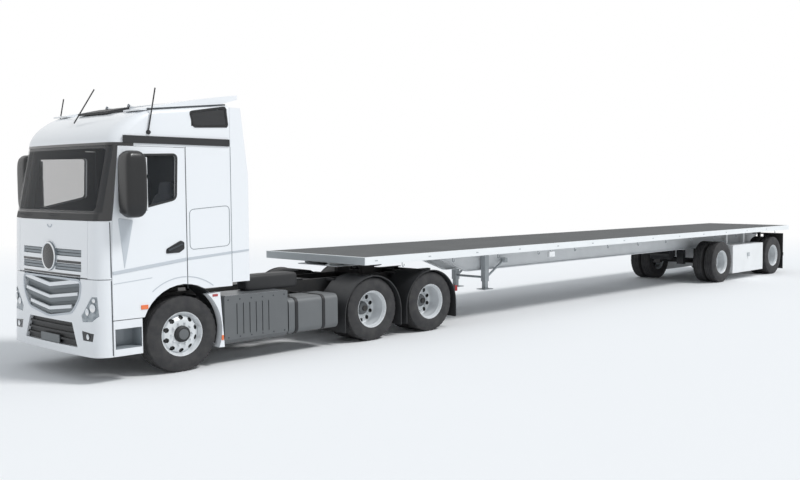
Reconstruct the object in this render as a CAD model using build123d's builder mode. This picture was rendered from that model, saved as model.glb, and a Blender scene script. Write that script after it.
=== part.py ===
from build123d import *

import os
from functools import cache
from math import atan2, cos, degrees, radians, sin, sqrt

os.makedirs("parts", exist_ok=True)

# An articulated lorry: a cab-over tractor on three axles and a flatbed semi-trailer.
# Millimetres. X runs forward, Y to the left, Z up from the road. The origin is on the road,
# under the middle of the whole vehicle.

# Lengths
front_overhang = 1215  # front axle to the bumper's nose
wheelbase = 3320  # front axle to the first drive axle
drive_spread = 1310  # between the two drive axles
kingpin_setback = 882  # trailer's nose to its king pin
trailer_length = 16150
trailer_spread = 3100  # between the two trailer axles
trailer_tail = 912  # last axle to the trailer's end

# Widths
cab_width = 2490
frame_width = 860  # over the chassis rails
trailer_width = 2590

# Heights above the road
bumper_low = 340
bumper_high = 1310
door_low = 800
cab_low = 1100
floor_low = 1200
door_high = 2985
flap_low = 1330
screen_low = 2050
roof_low = 3030
frame_low = 720
frame_high = 990
coupling_high = 1160  # top of the fifth wheel's plate
deck_high = 1355

# Clearances
seat = 0.3  # between pieces that sit on each other
seam = 6  # around doors, flaps and lids
plate_gap = 0.5  # between the fifth wheel and the trailer's coupler plate

# Stations along the vehicle, all worked out from the lengths
kingpin_from_axle = wheelbase + drive_spread / 2
total_length = front_overhang + kingpin_from_axle - kingpin_setback + trailer_length
axle_x = total_length / 2 - front_overhang
nose_x = axle_x + front_overhang
drive_x = (axle_x - wheelbase, axle_x - wheelbase - drive_spread)
kingpin_x = axle_x - kingpin_from_axle
trailer_nose = kingpin_x + kingpin_setback
trailer_end = trailer_nose - trailer_length
trailer_x = (trailer_end + trailer_tail + trailer_spread, trailer_end + trailer_tail)

# Cab stations
cab_half = cab_width / 2
front_bow = 50  # how far the front's ends lie behind its middle
corner_r = 200
bow_facets = 3  # flat facets from the front's middle to a corner
corner_facets = 6  # and round the corner
cab_rear = axle_x - 730
door_front = axle_x + 975
door_rear = axle_x - 45
wall = 60  # cab walls and doors
flap_thick = 50
front_layer = 80  # flap and corner panels in front of the cab's own wall
arch_r = 600
arch_z = 580
arch_facets = 36

# Tyres: overall radius, width, bead radius
tractor_tyre_r = 507
tractor_tyre_w = 315
drive_tyre_w = 295
trailer_tyre_r = 525
trailer_tyre_w = 280
bead_r = 286
front_face_y = 1200  # outer sidewall of the front tyres
drive_face_y = 1225
trailer_face_y = 1250
drive_twin = 340  # between the middles of twin tyres
trailer_twin = 325
kingpin_y = 850  # steering pin of a front wheel
tyre_sides = 30
inner_tyre_sides = 20
hub_sides = 16
face_r = 160  # flat middle of a wheel's disc
hub_r = 110
hand_holes = 10
hand_hole_r = 24
rim_t = 16
bar_sides = 12  # plain bars and tubes are cut flat, to keep facets few
drum_sides = 16  # and so are air springs, tanks and axle housings

# Lean of the cab's front above each height, in x per z
leans = (  # from height, lean
    (bumper_low, -0.03),
    (screen_low, -0.20),
    (roof_low, -0.59),
)
sky = 1e5  # above everything
roof_high = 3438  # roof's top at its front end
roof_rise = 0.113  # roof's slope towards the rear
roof_front = axle_x + 600
roof_edge_r = 70
roof_edge_facets = 4
roof_deep = 1500  # reaches below the whole roof
brow_fall = 0.25  # roof's fall in front of that


def keep(builder, node):
    """Labels a finished piece and writes it."""
    builder.part.label = node
    export_step(builder.part, f"parts/{node}.step")


def block(x, y, z, mode=Mode.ADD):
    """A box between two corners, each argument a pair of a low and a high value."""
    with Locations(((x[0] + x[1]) / 2, (y[0] + y[1]) / 2, (z[0] + z[1]) / 2)):
        Box(abs(x[1] - x[0]), abs(y[1] - y[0]), abs(z[1] - z[0]), mode=mode)


def rod(start, end, radius, sides=0, mode=Mode.ADD):
    """A bar between two points, round or with a number of flat sides."""
    line = Vector(*end) - Vector(*start)
    with BuildSketch(Plane(origin=start, z_dir=line)) as section:
        if sides:
            RegularPolygon(radius, sides)
        else:
            Circle(radius)
    extrude(section.sketch, amount=line.length, mode=mode)


def arc(x, y, radius, start, end, facets):
    """Points along an arc cut into flat facets, between two angles in degrees."""
    turns = [radians(start + (end - start) * i / facets) for i in range(facets + 1)]
    return [(x + radius * cos(turn), y + radius * sin(turn)) for turn in turns]


def round_box(width, height, radius, facets):
    """Points of a box about the origin, its corners rounded in flat facets."""
    points = []
    x = width / 2 - radius
    y = height / 2 - radius
    for start, sx, sy in ((0, 1, 1), (90, -1, 1), (180, -1, -1), (270, 1, -1)):
        points += arc(sx * x, sy * y, radius, start, start + 90, facets)
    return points


def nose(z):
    """How far the front's middle lies back from the bumper's nose at a height."""
    back = 0
    tops = [low for low, _ in leans[1:]] + [sky]
    for (low, lean), top in zip(leans, tops):
        if z > low:
            back += lean * (min(z, top) - low)
    return back


def plan(inset):
    """The cab's front in plan, from its middle: a shallow bow between round corners, alike at every inset."""
    bow_r = (cab_half**2 + front_bow**2) / (2 * front_bow)
    y = cab_half - corner_r
    x = sqrt((bow_r - corner_r) ** 2 - y**2) - bow_r
    turn = degrees(atan2(y, x + bow_r))
    left = arc(x, y, corner_r - inset, 90, turn, corner_facets)
    left += arc(-bow_r, 0, bow_r - inset, turn, 0, bow_facets)[1:]
    return left + [(x, -y) for x, y in reversed(left[:-1])]


@cache
def hull(low, high, inset):
    """The cab's outer volume between two heights: its plan carried up, leaning back."""
    tops = [start for start, _ in leans[1:]] + [sky]
    half = cab_half - inset
    tail = cab_rear - 900
    with BuildPart() as body:
        for (start, lean), top in zip(leans, tops):
            z0 = max(low, start)
            z1 = min(high, top)
            if z0 >= z1:
                continue
            front = [(nose_x + nose(z0) + x, y) for x, y in plan(inset)]
            with BuildSketch(Plane.XY.offset(z0)):
                with BuildLine():
                    Polyline(*front, (tail, -half), (tail, half), close=True)
                make_face()
            extrude(amount=(z1 - z0) * sqrt(1 + lean**2), dir=(lean, 0, 1))
        split(bisect_by=Plane((cab_rear, 0, 0), z_dir=(1, 0, 0)), keep=Keep.TOP)
    return body.part


@cache
def layer(low, high, out, thick):
    """A skin of the cab's outer volume between two depths."""
    return hull(low, high, out) - hull(low, high, out + thick)


def outline(points, plane, radius, grow):
    """A closed outline on a plane, its corners rounded, moved out by a margin."""
    with BuildSketch(plane) as section:
        with BuildLine():
            Polyline(*points, close=True)
        make_face()
        if radius:
            fillet(section.vertices(), radius)
        if grow:
            offset(amount=grow, kind=Kind.INTERSECTION, mode=Mode.REPLACE)
    return section.sketch


def side_prism(points, y0, y1, radius=0, grow=0):
    """An outline in X and Z carried across the vehicle between two widths."""
    face = outline(points, Plane.XZ.offset(-max(y0, y1)), radius, grow)
    return extrude(face, amount=abs(y1 - y0), mode=Mode.PRIVATE)


def front_prism(points, x0, x1, radius=0, grow=0):
    """An outline in Y and Z carried along the vehicle between two stations."""
    face = outline(points, Plane.YZ.offset(x0), radius, grow)
    return extrude(face, amount=x1 - x0, mode=Mode.PRIVATE)


def both_sides(points):
    """An outline in Y and Z and its mirror image."""
    return points, [(-y, z) for y, z in points]


# Chassis of the tractor
half_frame = frame_width / 2
rail_web = 9
rail_flange = 80
frame_front = axle_x + 1010
frame_rear = drive_x[1] - 780
tail_bar_z = (600, 700)
rail_inner = half_frame - rail_web
skirt_inner = 985
box_inner = 620
cross_stations = (
    axle_x + 960,
    axle_x - 1500,
    axle_x - 2350,
    drive_x[0] + 420,
    kingpin_x,
    drive_x[1] - 420,
    frame_rear + 60,
)
outrigger_x = (axle_x + 700, axle_x + 780)
cab_post_x = (axle_x + 820, axle_x - 620)
bracket_stations = (axle_x - 800, axle_x - 1450, axle_x - 1812, axle_x - 2312)
bumper_thick = 70
beam_z = (600, 740)
with BuildPart() as chassis_frame:
    for s in (1, -1):
        with BuildSketch(Plane.YZ.offset(frame_rear)):
            with Locations((s * (half_frame - rail_flange / 2), (frame_low + frame_high) / 2)):
                Rectangle(rail_flange, frame_high - frame_low)
            with Locations((s * (half_frame - rail_web - rail_flange / 2), (frame_low + frame_high) / 2)):
                Rectangle(rail_flange, frame_high - frame_low - 2 * rail_web, mode=Mode.SUBTRACT)
        extrude(amount=frame_front - frame_rear)
        block(outrigger_x, (s * half_frame, s * (skirt_inner - seat)), (frame_low, frame_low + 60))
        for x in cab_post_x:
            block((x - 60, x + 60), (s * (half_frame - 100), s * half_frame), (frame_high, floor_low))
        for x in bracket_stations:
            block((x - 25, x + 25), (s * half_frame, s * (box_inner - seat)), (frame_low, frame_low + 110))
    for x in cross_stations:
        block((x - 50, x + 50), (-rail_inner, rail_inner), (frame_low + 80, frame_high - 30))
    add(
        layer(beam_z[0], beam_z[1], bumper_thick + seat, 110)
        & front_prism([(-900, 0), (900, 0), (900, 2000), (-900, 2000)], axle_x + 700, nose_x)
    )
    for s in (1, -1):
        block((frame_front - 10, frame_front + 70), (s * 300, s * 420), (beam_z[0], frame_low + 100))
    block((axle_x - 2520, axle_x - 1060), (-half_frame, half_frame), (frame_high, frame_high + 8))
    block((frame_rear - 50, frame_rear), (-1000, 1000), tail_bar_z)
    block((frame_rear - 50, frame_rear + 60), (-half_frame, half_frame), (tail_bar_z[0], frame_low + 20))
keep(chassis_frame, "chassis_frame")

# Axles of the tractor
axle_z = tractor_tyre_r
boss_r = 50
pin_r = 24
boss_z = (axle_z - 55, axle_z + 55)
beam_top = 470
spring_y = half_frame - 35
spindle_r = 45
tube_r = 75
housing_r = 210
housing_half = 150
bag_r = 110
drive_inner_face = drive_face_y - drive_tyre_w - drive_twin
axle_seat_z = axle_z + tube_r + 12
with BuildPart() as axles:
    block((axle_x - 45, axle_x + 45), (-640, 640), (beam_top - 120, beam_top))
    for s in (1, -1):
        block((axle_x - 45, axle_x + 45), (s * 600, s * kingpin_y), boss_z)
        with Locations((axle_x, s * kingpin_y, axle_z)):
            Cylinder(boss_r, boss_z[1] - boss_z[0])
    for s in (1, -1):
        with Locations((axle_x, s * kingpin_y, axle_z)):
            Cylinder(pin_r + seat, 300, mode=Mode.SUBTRACT)
    for x in drive_x:
        rod((x, -(drive_inner_face - 20), axle_z), (x, drive_inner_face - 20, axle_z), tube_r, bar_sides)
        rod((x, -(drive_face_y - 190), axle_z), (x, drive_face_y - 190, axle_z), spindle_r)
        rod((x, 0, axle_z - housing_half), (x, 0, axle_z + housing_half), housing_r, drum_sides)
        for s in (1, -1):
            block((x - 130, x + 130), (s * (spring_y - 60), s * (spring_y + 60)), (axle_z, axle_seat_z))
keep(axles, "axles")

# Springs between the axles and the chassis
leaf_half = 760
leaf_t = 45
with BuildPart() as suspension:
    for s in (1, -1):
        with BuildSketch(Plane.XZ.offset(-(spring_y * s + 35))):
            with BuildLine():
                ThreePointArc(
                    (axle_x - leaf_half, frame_low - 30),
                    (axle_x, beam_top + leaf_t),
                    (axle_x + leaf_half, frame_low - 30),
                )
                Line((axle_x + leaf_half, frame_low - 30), (axle_x + leaf_half, frame_low))
                Line((axle_x + leaf_half, frame_low), (axle_x + leaf_half + 60, frame_low))
                Line((axle_x + leaf_half + 60, frame_low), (axle_x + leaf_half + 60, frame_low - 75))
                Line((axle_x + leaf_half + 60, frame_low - 75), (axle_x + 180, beam_top))
                Line((axle_x + 180, beam_top), (axle_x - 180, beam_top))
                Line((axle_x - 180, beam_top), (axle_x - leaf_half - 60, frame_low - 75))
                Line((axle_x - leaf_half - 60, frame_low - 75), (axle_x - leaf_half - 60, frame_low))
                Line((axle_x - leaf_half - 60, frame_low), (axle_x - leaf_half, frame_low))
                Line((axle_x - leaf_half, frame_low), (axle_x - leaf_half, frame_low - 30))
            make_face()
        extrude(amount=70)
        for x in drive_x:
            rod((x, s * spring_y, axle_seat_z), (x, s * spring_y, frame_low), bag_r, drum_sides)
keep(suspension, "suspension")

# Engine, gearbox and drive shafts
engine_half = 320
engine_z = (560, 1150)
shaft_z = axle_z + 60
with BuildPart() as powertrain:
    block((axle_x - 450, axle_x + 720), (-engine_half, engine_half), engine_z)
    block((axle_x + 700, axle_x + 800), (-engine_half, engine_half), (beam_z[1] + 20, engine_z[1]))
    block((axle_x - 1330, axle_x - 400), (-210, 210), (engine_z[0] + 20, frame_high - 20))
    for s in (1, -1):
        mount_y = (s * 200, s * (rail_inner - seat))
        block((axle_x - 300, axle_x - 180), mount_y, (frame_low + 60, frame_high - 60))
    rod((axle_x - 1400, 0, shaft_z), (drive_x[0] + housing_r + seat, 0, shaft_z), 60, bar_sides)
    block((axle_x - 1420, axle_x - 1300), (-100, 100), (shaft_z - 60, frame_high - 40))
    shaft_x = (drive_x[0] - housing_r - seat, drive_x[1] + housing_r + seat)
    rod((shaft_x[0], 0, shaft_z), (shaft_x[1], 0, shaft_z), 55, bar_sides)
keep(powertrain, "powertrain")

# Front bumper with its openings, and what fills them
grille_top = bumper_high
grille_outline = [
    (-800, grille_top + 20),
    (-780, 1080),
    (-600, 880),
    (0, 800),
    (600, 880),
    (780, 1080),
    (800, grille_top + 20),
]
intake_outline = [(-600, 745), (-740, 440), (740, 440), (600, 745)]
fog_outline = [(840, 660), (870, 540), (1090, 540), (1110, 640)]
lamp_outline = [(860, 770), (830, 850), (1060, 1100), (1150, 1100), (1170, 860), (1080, 790)]
front_reach = (axle_x + 700, nose_x + 100)
seam_x = door_front + 10
with BuildPart() as front_bumper:
    add(layer(bumper_low, bumper_high, 0, bumper_thick))
    block((axle_x - 2000, seam_x), (-2000, 2000), (0, 3000), mode=Mode.SUBTRACT)
    for points in [grille_outline, intake_outline, *both_sides(fog_outline), *both_sides(lamp_outline)]:
        add(front_prism(points, *front_reach), mode=Mode.SUBTRACT)
keep(front_bumper, "front_bumper")

chevron_rows = (  # height at the middle, depth of the bar
    (1215, 85),
    (1045, 85),
    (885, 70),
)
chevron_rise = 99
intake_slats = (500, 580, 660)
with BuildPart() as front_grilles:
    grille_space = front_prism(grille_outline, *front_reach, grow=-seat)
    add(layer(bumper_low, bumper_high - seam, 50, 16) & grille_space)
    bar_space = layer(bumper_low, bumper_high - seam, 12, 40) & grille_space
    for z, depth in chevron_rows:
        points = [
            (-900, z + chevron_rise),
            (0, z),
            (900, z + chevron_rise),
            (900, z + chevron_rise - depth),
            (0, z - depth),
            (-900, z + chevron_rise - depth),
        ]
        add(bar_space & front_prism(points, *front_reach))
    intake_space = front_prism(intake_outline, *front_reach, grow=-seat)
    add(layer(bumper_low, bumper_high, 45, 20) & intake_space)
    slat_space = layer(bumper_low, bumper_high, 18, 30) & intake_space
    for z in intake_slats:
        add(slat_space & front_prism([(-900, z), (900, z), (900, z + 26), (-900, z + 26)], *front_reach))
keep(front_grilles, "front_grilles")

# Lamps of the tractor: head lamps and fog lamps in the bumper, tail lamps on the tail bar
with BuildPart() as lamps:
    for points in both_sides(lamp_outline) + both_sides(fog_outline):
        add(layer(bumper_low, bumper_high, 6, 50) & front_prism(points, *front_reach, grow=-seat))
    for s in (1, -1):
        block((frame_rear - 110, frame_rear - 50 - seat), (s * 640, s * 1000), tail_bar_z)
keep(lamps, "lamps")

# Panels at the cab's front corners, and the step skirts below the doors
skirt_x = (axle_x + 595, door_front)
step_x = (axle_x + 605, axle_x + 955)
step_z = (430, 685)
flap_half = 968
with BuildPart() as side_panels:
    add(layer(flap_low - 10, screen_low - seam, 0, front_layer - seat))
    block((axle_x - 2000, seam_x), (-2000, 2000), (0, 3000), mode=Mode.SUBTRACT)
    block((axle_x, nose_x + 100), (-flap_half, flap_half), (0, 3000), mode=Mode.SUBTRACT)
    skirt_face = [(skirt_x[0], 0), (skirt_x[1], 0), (skirt_x[1], 3000), (skirt_x[0], 3000)]
    for s in (1, -1):
        add(hull(bumper_low, door_low - 10, 0) & side_prism(skirt_face, s * skirt_inner, s * 1300))
        block(step_x, (s * 1010, s * 1300), step_z, mode=Mode.SUBTRACT)
keep(side_panels, "side_panels")

# Mudguards: liners with a rear strip at the front wheels, tall arches over the drive wheels
guard_t = 12
guard_r = 585  # inside of a drive wheel's arch
guard_mid_z = 455  # where its round top ends and its straight legs start
guard_low = 190
guard_facets = 10
guard_y = (drive_inner_face + 10, 1240)
guard_bracket_x = 292
liner_y = (760, 1180)
liner_low = arch_z + 200
strip_y = (1110, 1240)
with BuildPart() as mudguards:
    for s in (1, -1):
        with BuildSketch(Plane.XZ.offset(-max(s * liner_y[0], s * liner_y[1]))):
            with Locations((axle_x, arch_z)):
                RegularPolygon(arch_r + 12, arch_facets, major_radius=False)
                RegularPolygon(arch_r + 2, arch_facets, major_radius=False, mode=Mode.SUBTRACT)
            with Locations((axle_x, 0)):
                Rectangle(4 * arch_r, 2 * liner_low, mode=Mode.SUBTRACT)
        extrude(amount=liner_y[1] - liner_y[0])
        with BuildSketch(Plane.XZ.offset(-max(s * strip_y[0], s * strip_y[1]))):
            with BuildLine():
                ThreePointArc((axle_x - 354, 1015), (axle_x - 562, axle_z), (axle_x - 512, 265))
                Polyline((axle_x - 512, 265), (axle_x - 596, 262), (axle_x - 539, 1025), (axle_x - 354, 1015))
            make_face()
        extrude(amount=strip_y[1] - strip_y[0])
        block((axle_x - 520, axle_x - 440), (s * half_frame, s * (liner_y[0] + 30)), (925, 960))
        for x in drive_x:
            out_r = guard_r + guard_t
            inside = arc(x, guard_mid_z, guard_r, 0, 180, guard_facets)
            outside = arc(x, guard_mid_z, out_r, 180, 0, guard_facets)
            rear_leg = [(x - guard_r, guard_low), (x - out_r, guard_low)]
            front_leg = [(x + out_r, guard_low), (x + guard_r, guard_low)]
            add(side_prism(inside + rear_leg + outside + front_leg, s * guard_y[0], s * guard_y[1]))
            for end in (1, -1):
                bracket_x = x + end * guard_bracket_x
                bracket_y = (s * half_frame, s * (guard_y[0] + 30))
                block((bracket_x - 20, bracket_x + 20), bracket_y, (frame_high - 40, frame_high))
keep(mudguards, "mudguards")

# Boxes and tanks along the chassis
box_x = (axle_x - 1655, axle_x - 605)
box_y = (box_inner, 1235)
box_z = (290, 955)
rib_pitch = 105
with BuildPart() as side_boxes:
    for s in (1, -1):
        block(box_x, (s * box_y[0], s * box_y[1]), box_z)
    chamfer(side_boxes.edges().filter_by(Axis.X).group_by(Axis.Z)[0], 60)
    for i in range(6):
        x = box_x[0] + 330 + i * rib_pitch
        groove_y = (box_y[1] - 12, box_y[1] + 10)
        block((x - 8, x + 8), groove_y, (box_z[0] + 120, box_z[1] - 110), mode=Mode.SUBTRACT)
keep(side_boxes, "side_boxes")

tank_x = (axle_x - 2585, axle_x - 1675)
strap_t = 8
tank_r = 90
tank_facets = 5
tank_y = (box_inner + strap_t, 1235)
tank_z = (300, 830)
strap_stations = (axle_x - 1812, axle_x - 2312)
with BuildPart() as fuel_tanks:
    for s in (1, -1):
        for x0, x1, out in [(*tank_x, 0)] + [(x - 25, x + 25, strap_t) for x in strap_stations]:
            mid_y = s * (tank_y[0] + tank_y[1]) / 2
            mid_z = (tank_z[0] + tank_z[1]) / 2
            wide = tank_y[1] - tank_y[0] + 2 * out
            high = tank_z[1] - tank_z[0] + 2 * out
            section = round_box(wide, high, tank_r + out, tank_facets)
            add(front_prism([(mid_y + y, mid_z + z) for y, z in section], x0, x1))
keep(fuel_tanks, "fuel_tanks")

# Fifth wheel: a plate on two side brackets, with a throat that takes the king pin
plate_t = 45
pin_shank_r = 25.4
with BuildPart() as fifth_wheel:
    with BuildSketch(Plane.XY.offset(coupling_high - plate_t)):
        with Locations((kingpin_x, 0)):
            Circle(470)
        with Locations((kingpin_x + 450, 0)):
            Rectangle(400, 1000, mode=Mode.SUBTRACT)
        with Locations((kingpin_x, 0)):
            Circle(pin_shank_r + 12, mode=Mode.SUBTRACT)
        with BuildLine():
            Polyline(
                (kingpin_x, 30),
                (kingpin_x - 480, 190),
                (kingpin_x - 480, -190),
                (kingpin_x, -30),
                close=True,
            )
        make_face(mode=Mode.SUBTRACT)
    extrude(amount=plate_t)
    for s in (1, -1):
        block(
            (kingpin_x - 130, kingpin_x + 130),
            (s * (half_frame - 140), s * (half_frame - 60)),
            (frame_high, coupling_high - plate_t),
        )
keep(fifth_wheel, "fifth_wheel")

# Cab shell: floor, walls and pillars round the door and windscreen openings
cavity_front = axle_x + 910
floor_t = 60
screen_opening = [(-1080, 2170), (-1080, 2960), (1080, 2960), (1080, 2170)]
screen_outline = [(-1180, 2145), (-1180, 2995), (1180, 2995), (1180, 2145)]
cowl_half = 1150
cowl_t = 55
cowl_z = (screen_low + seat, screen_low + 85)
glass_t = 12
door_outline = [
    (door_front, door_low),
    (door_front, 1400),
    (axle_x + 958, screen_low),
    (axle_x + 848, door_high),
    (door_rear, door_high),
    (door_rear, door_low),
]


def arch(radius):
    """The round wheel opening in the cab's sides."""
    with BuildPart() as opening:
        with BuildSketch(Plane.XZ):
            with Locations((axle_x, arch_z)):
                RegularPolygon(radius, arch_facets, major_radius=False)
        extrude(amount=2000, both=True)
    return opening.part


with BuildPart() as cab_shell:
    add(hull(cab_low, roof_low, 0))
    add(
        layer(cab_low, screen_low, 0, front_layer)
        & front_prism([(-2000, 0), (2000, 0), (2000, 3000), (-2000, 3000)], seam_x - 5, nose_x + 100),
        mode=Mode.SUBTRACT,
    )
    block((axle_x - 2000, nose_x), (-cab_half + wall, cab_half - wall), (0, floor_low), mode=Mode.SUBTRACT)
    block((seam_x - 5, nose_x + 100), (-2000, 2000), (0, floor_low), mode=Mode.SUBTRACT)
    room = [
        (cab_rear + wall, 0),
        (cavity_front, 0),
        (cavity_front, screen_low + 40),
        (nose_x, screen_low + 40),
        (nose_x, 4000),
        (cab_rear + wall, 4000),
    ]
    add(hull(floor_low + floor_t, roof_low, wall) & side_prism(room, -2000, 2000), mode=Mode.SUBTRACT)
    for s in (1, -1):
        y0, y1 = sorted((s * (cab_half - wall - 30), s * (cab_half + 50)))
        add(side_prism(door_outline, y0, y1, grow=seam), mode=Mode.SUBTRACT)
    add(arch(arch_r), mode=Mode.SUBTRACT)
    add(layer(screen_low, roof_low, 0, glass_t + seat) & front_prism(screen_outline, *front_reach, grow=seat),
        mode=Mode.SUBTRACT)
    add(front_prism(screen_opening, axle_x + 500, nose_x + 100, radius=70), mode=Mode.SUBTRACT)
    cowl_face = [(-cowl_half, 0), (cowl_half, 0), (cowl_half, 4000), (-cowl_half, 4000)]
    cowl_space = front_prism(cowl_face, *front_reach, grow=seat)
    add(layer(screen_low, cowl_z[1] + seat, 0, cowl_t + seat) & cowl_space, mode=Mode.SUBTRACT)
    for y in (-600, 600):
        for z in (flap_low + 90, screen_low - 90):
            pad = [(y - 30, z - 30), (y + 30, z - 30), (y + 30, z + 30), (y - 30, z + 30)]
            add(layer(flap_low, screen_low, flap_thick + seat, front_layer) & front_prism(pad, *front_reach))
    for s in (1, -1):
        block(
            (axle_x + 100, axle_x + 600),
            (s * (cab_half - wall + 5), s * (cab_half - 25)),
            (door_high + seat, door_high + seam + 5),
        )
keep(cab_shell, "cab_shell")


def roof_under(drop):
    """Everything below the roof's top, lowered by a drop: a round-edged section carried along both slopes."""
    top = roof_high - drop
    edge_r = roof_edge_r - drop / 2
    left = [(cab_half - drop, top - roof_deep)]
    left += arc(cab_half - drop - edge_r, top - edge_r, edge_r, 0, 90, roof_edge_facets)
    right = [(-y, z) for y, z in reversed(left)]
    section = outline(left + right, Plane.YZ.offset(roof_front), 0, 0)
    with BuildPart() as space:
        for along, rise in ((-1, roof_rise), (1, -brow_fall)):
            extrude(section, amount=1600 * sqrt(1 + rise**2), dir=(along, 0, rise))
    return space.part


# Roof: a high cap with its own walls and small side windows
roof_wall = 40
roof_window = [(axle_x - 140, 3450), (axle_x - 190, 3275), (axle_x - 690, 3300), (axle_x - 665, 3535)]
with BuildPart() as cab_roof:
    add(hull(roof_low, 3800, 0) & roof_under(0))
    roof_room = [(cab_rear + roof_wall, 0), (nose_x, 0), (nose_x, 4000), (cab_rear + roof_wall, 4000)]
    add(
        hull(roof_low, 3800, roof_wall) & roof_under(roof_wall) & side_prism(roof_room, -2000, 2000),
        mode=Mode.SUBTRACT,
    )
    for s in (1, -1):
        y0, y1 = sorted((s * (cab_half - glass_t - seat), s * (cab_half + 50)))
        add(side_prism(roof_window, y0, y1, grow=seat), mode=Mode.SUBTRACT)
keep(cab_roof, "cab_roof")

# Windscreen and the roof's side windows
with BuildPart() as cab_glass:
    add(layer(screen_low, roof_low, 0, glass_t) & front_prism(screen_outline, *front_reach))
    for s in (1, -1):
        y0, y1 = sorted((s * (cab_half - glass_t), s * cab_half))
        add(side_prism(roof_window, y0, y1))
keep(cab_glass, "cab_glass")

# Air deflectors: one on the roof, one behind each side of the cab
spoiler_rear = axle_x - 890
spoiler_front = axle_x + 540
spoiler_high = 3740
fairing_rear = axle_x - 1010


def roof_z(x):
    """Height of the roof's top at a station."""
    return roof_high + (roof_front - x) * roof_rise


with BuildPart() as cab_fairings:
    with BuildSketch(Plane.XZ.offset(-1190)):
        with BuildLine():
            ThreePointArc(
                (spoiler_front, roof_z(spoiler_front) + 20),
                ((spoiler_front + spoiler_rear) / 2, roof_z(spoiler_front) * 0.45 + spoiler_high * 0.55 + 12),
                (spoiler_rear, spoiler_high),
            )
            Polyline(
                (spoiler_rear, spoiler_high),
                (spoiler_rear, spoiler_high - 60),
                (cab_rear + 200, roof_z(cab_rear + 200) + seat),
                (spoiler_front, roof_z(spoiler_front) + seat),
                (spoiler_front, roof_z(spoiler_front) + 20),
            )
        make_face()
    extrude(amount=2 * 1190)
    block((axle_x - 60, spoiler_front + 50), (-780, 780), (roof_high, spoiler_high + 100), mode=Mode.SUBTRACT)
    for s in (1, -1):
        y0, y1 = sorted((s * (cab_half - 40), s * cab_half))
        add(
            side_prism(
                [
                    (cab_rear - seat, 1150),
                    (fairing_rear, 1150),
                    (fairing_rear, 2640),
                    (spoiler_rear - 10, 3560),
                    (cab_rear - seat, 3560),
                ],
                y0,
                y1,
            )
        )
keep(cab_fairings, "cab_fairings")

# Black fittings: drip rails, wiper cowl with wipers, roof hatch, horns and aerials
drip_z = (3025, 3120)
aerial_r = 9
thin_sides = 8
with BuildPart() as cab_fittings:
    for s in (1, -1):
        block((axle_x - 715, axle_x + 800), (s * (cab_half + seat), s * (cab_half + 16)), drip_z)
    add(layer(*cowl_z, 0, cowl_t) & front_prism(cowl_face, *front_reach))
    for y in (520, -330):
        wiper_x = nose_x + nose(screen_low + 60) - 10
        rod((wiper_x - 30, y, screen_low + 40), (wiper_x + 22, y - 520, screen_low + 62), 14, thin_sides)
    hatch_x = (axle_x + 260, axle_x + 560)
    add(
        side_prism(
            [
                (hatch_x[0], roof_z(hatch_x[0]) + seat),
                (hatch_x[0], roof_z(hatch_x[0]) + 70),
                (hatch_x[1], roof_z(hatch_x[1]) + 30),
                (hatch_x[1], roof_z(hatch_x[1]) + seat),
            ],
            -420,
            420,
        )
    )
    brow_x = axle_x + 800
    brow_z = roof_low + (nose_x + nose(roof_low) - brow_x) / -leans[2][1]
    rod((brow_x + 12, 0, brow_z), (brow_x - 270, 0, brow_z + 470), aerial_r, thin_sides)
    for s in (1, -1):
        foot = (axle_x + 467, s * (cab_half + 14 + seat), 3170)
        base_x = foot[0] - 10
        rod((base_x, s * (cab_half + seat), 3170), (base_x, foot[1] + s * 12, 3170), 18, thin_sides)
        rod(foot, (axle_x + 360, foot[1], 3740), aerial_r, thin_sides)
keep(cab_fittings, "cab_fittings")

# Inside the cab: dashboard with the steering wheel, then two seats and the bunk
floor_high = floor_low + floor_t
dash_half = cab_half - wall - 40
driver_y = 560
seat_half = 260
bunk_front = axle_x - 260
bunk_high = 1720
wheel_centre = (axle_x + 470, driver_y, 1990)
wheel_tilt = (-0.55, 0, 0.84)
seat_profile = (  # x from the front axle, z
    (330, 1260),
    (-60, 1260),
    (-80, 1560),
    (-150, 1640),
    (-240, 2330),
    (-200, 2520),
    (-120, 2520),
    (-90, 2340),
    (-20, 1750),
    (380, 1750),
    (400, 1640),
    (330, 1560),
)
with BuildPart() as cab_interior:
    add(
        side_prism(
            [
                (cavity_front - seat, floor_high),
                (cavity_front - seat, screen_low + 20),
                (axle_x + 760, screen_low + 30),
                (axle_x + 610, 1950),
                (axle_x + 630, 1720),
                (axle_x + 780, 1600),
                (axle_x + 800, floor_high),
            ],
            -dash_half,
            dash_half,
        )
    )
    rod((axle_x + 700, driver_y, 1800), wheel_centre, 40, bar_sides)
    with BuildSketch(Plane(origin=wheel_centre, z_dir=wheel_tilt)):
        RegularPolygon(235, 20)
        RegularPolygon(200, 20, mode=Mode.SUBTRACT)
        Rectangle(50, 420)
        Rectangle(420, 50)
    extrude(amount=32)
keep(cab_interior, "cab_interior")

with BuildPart() as cab_seats:
    for y in (driver_y, -driver_y):
        add(side_prism([(axle_x + x, z) for x, z in seat_profile], y - seat_half, y + seat_half))
    bunk_half = cab_half - wall - 30
    block((cab_rear + wall + 5, bunk_front), (-bunk_half, bunk_half), (floor_high, bunk_high))
keep(cab_seats, "cab_seats")

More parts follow.
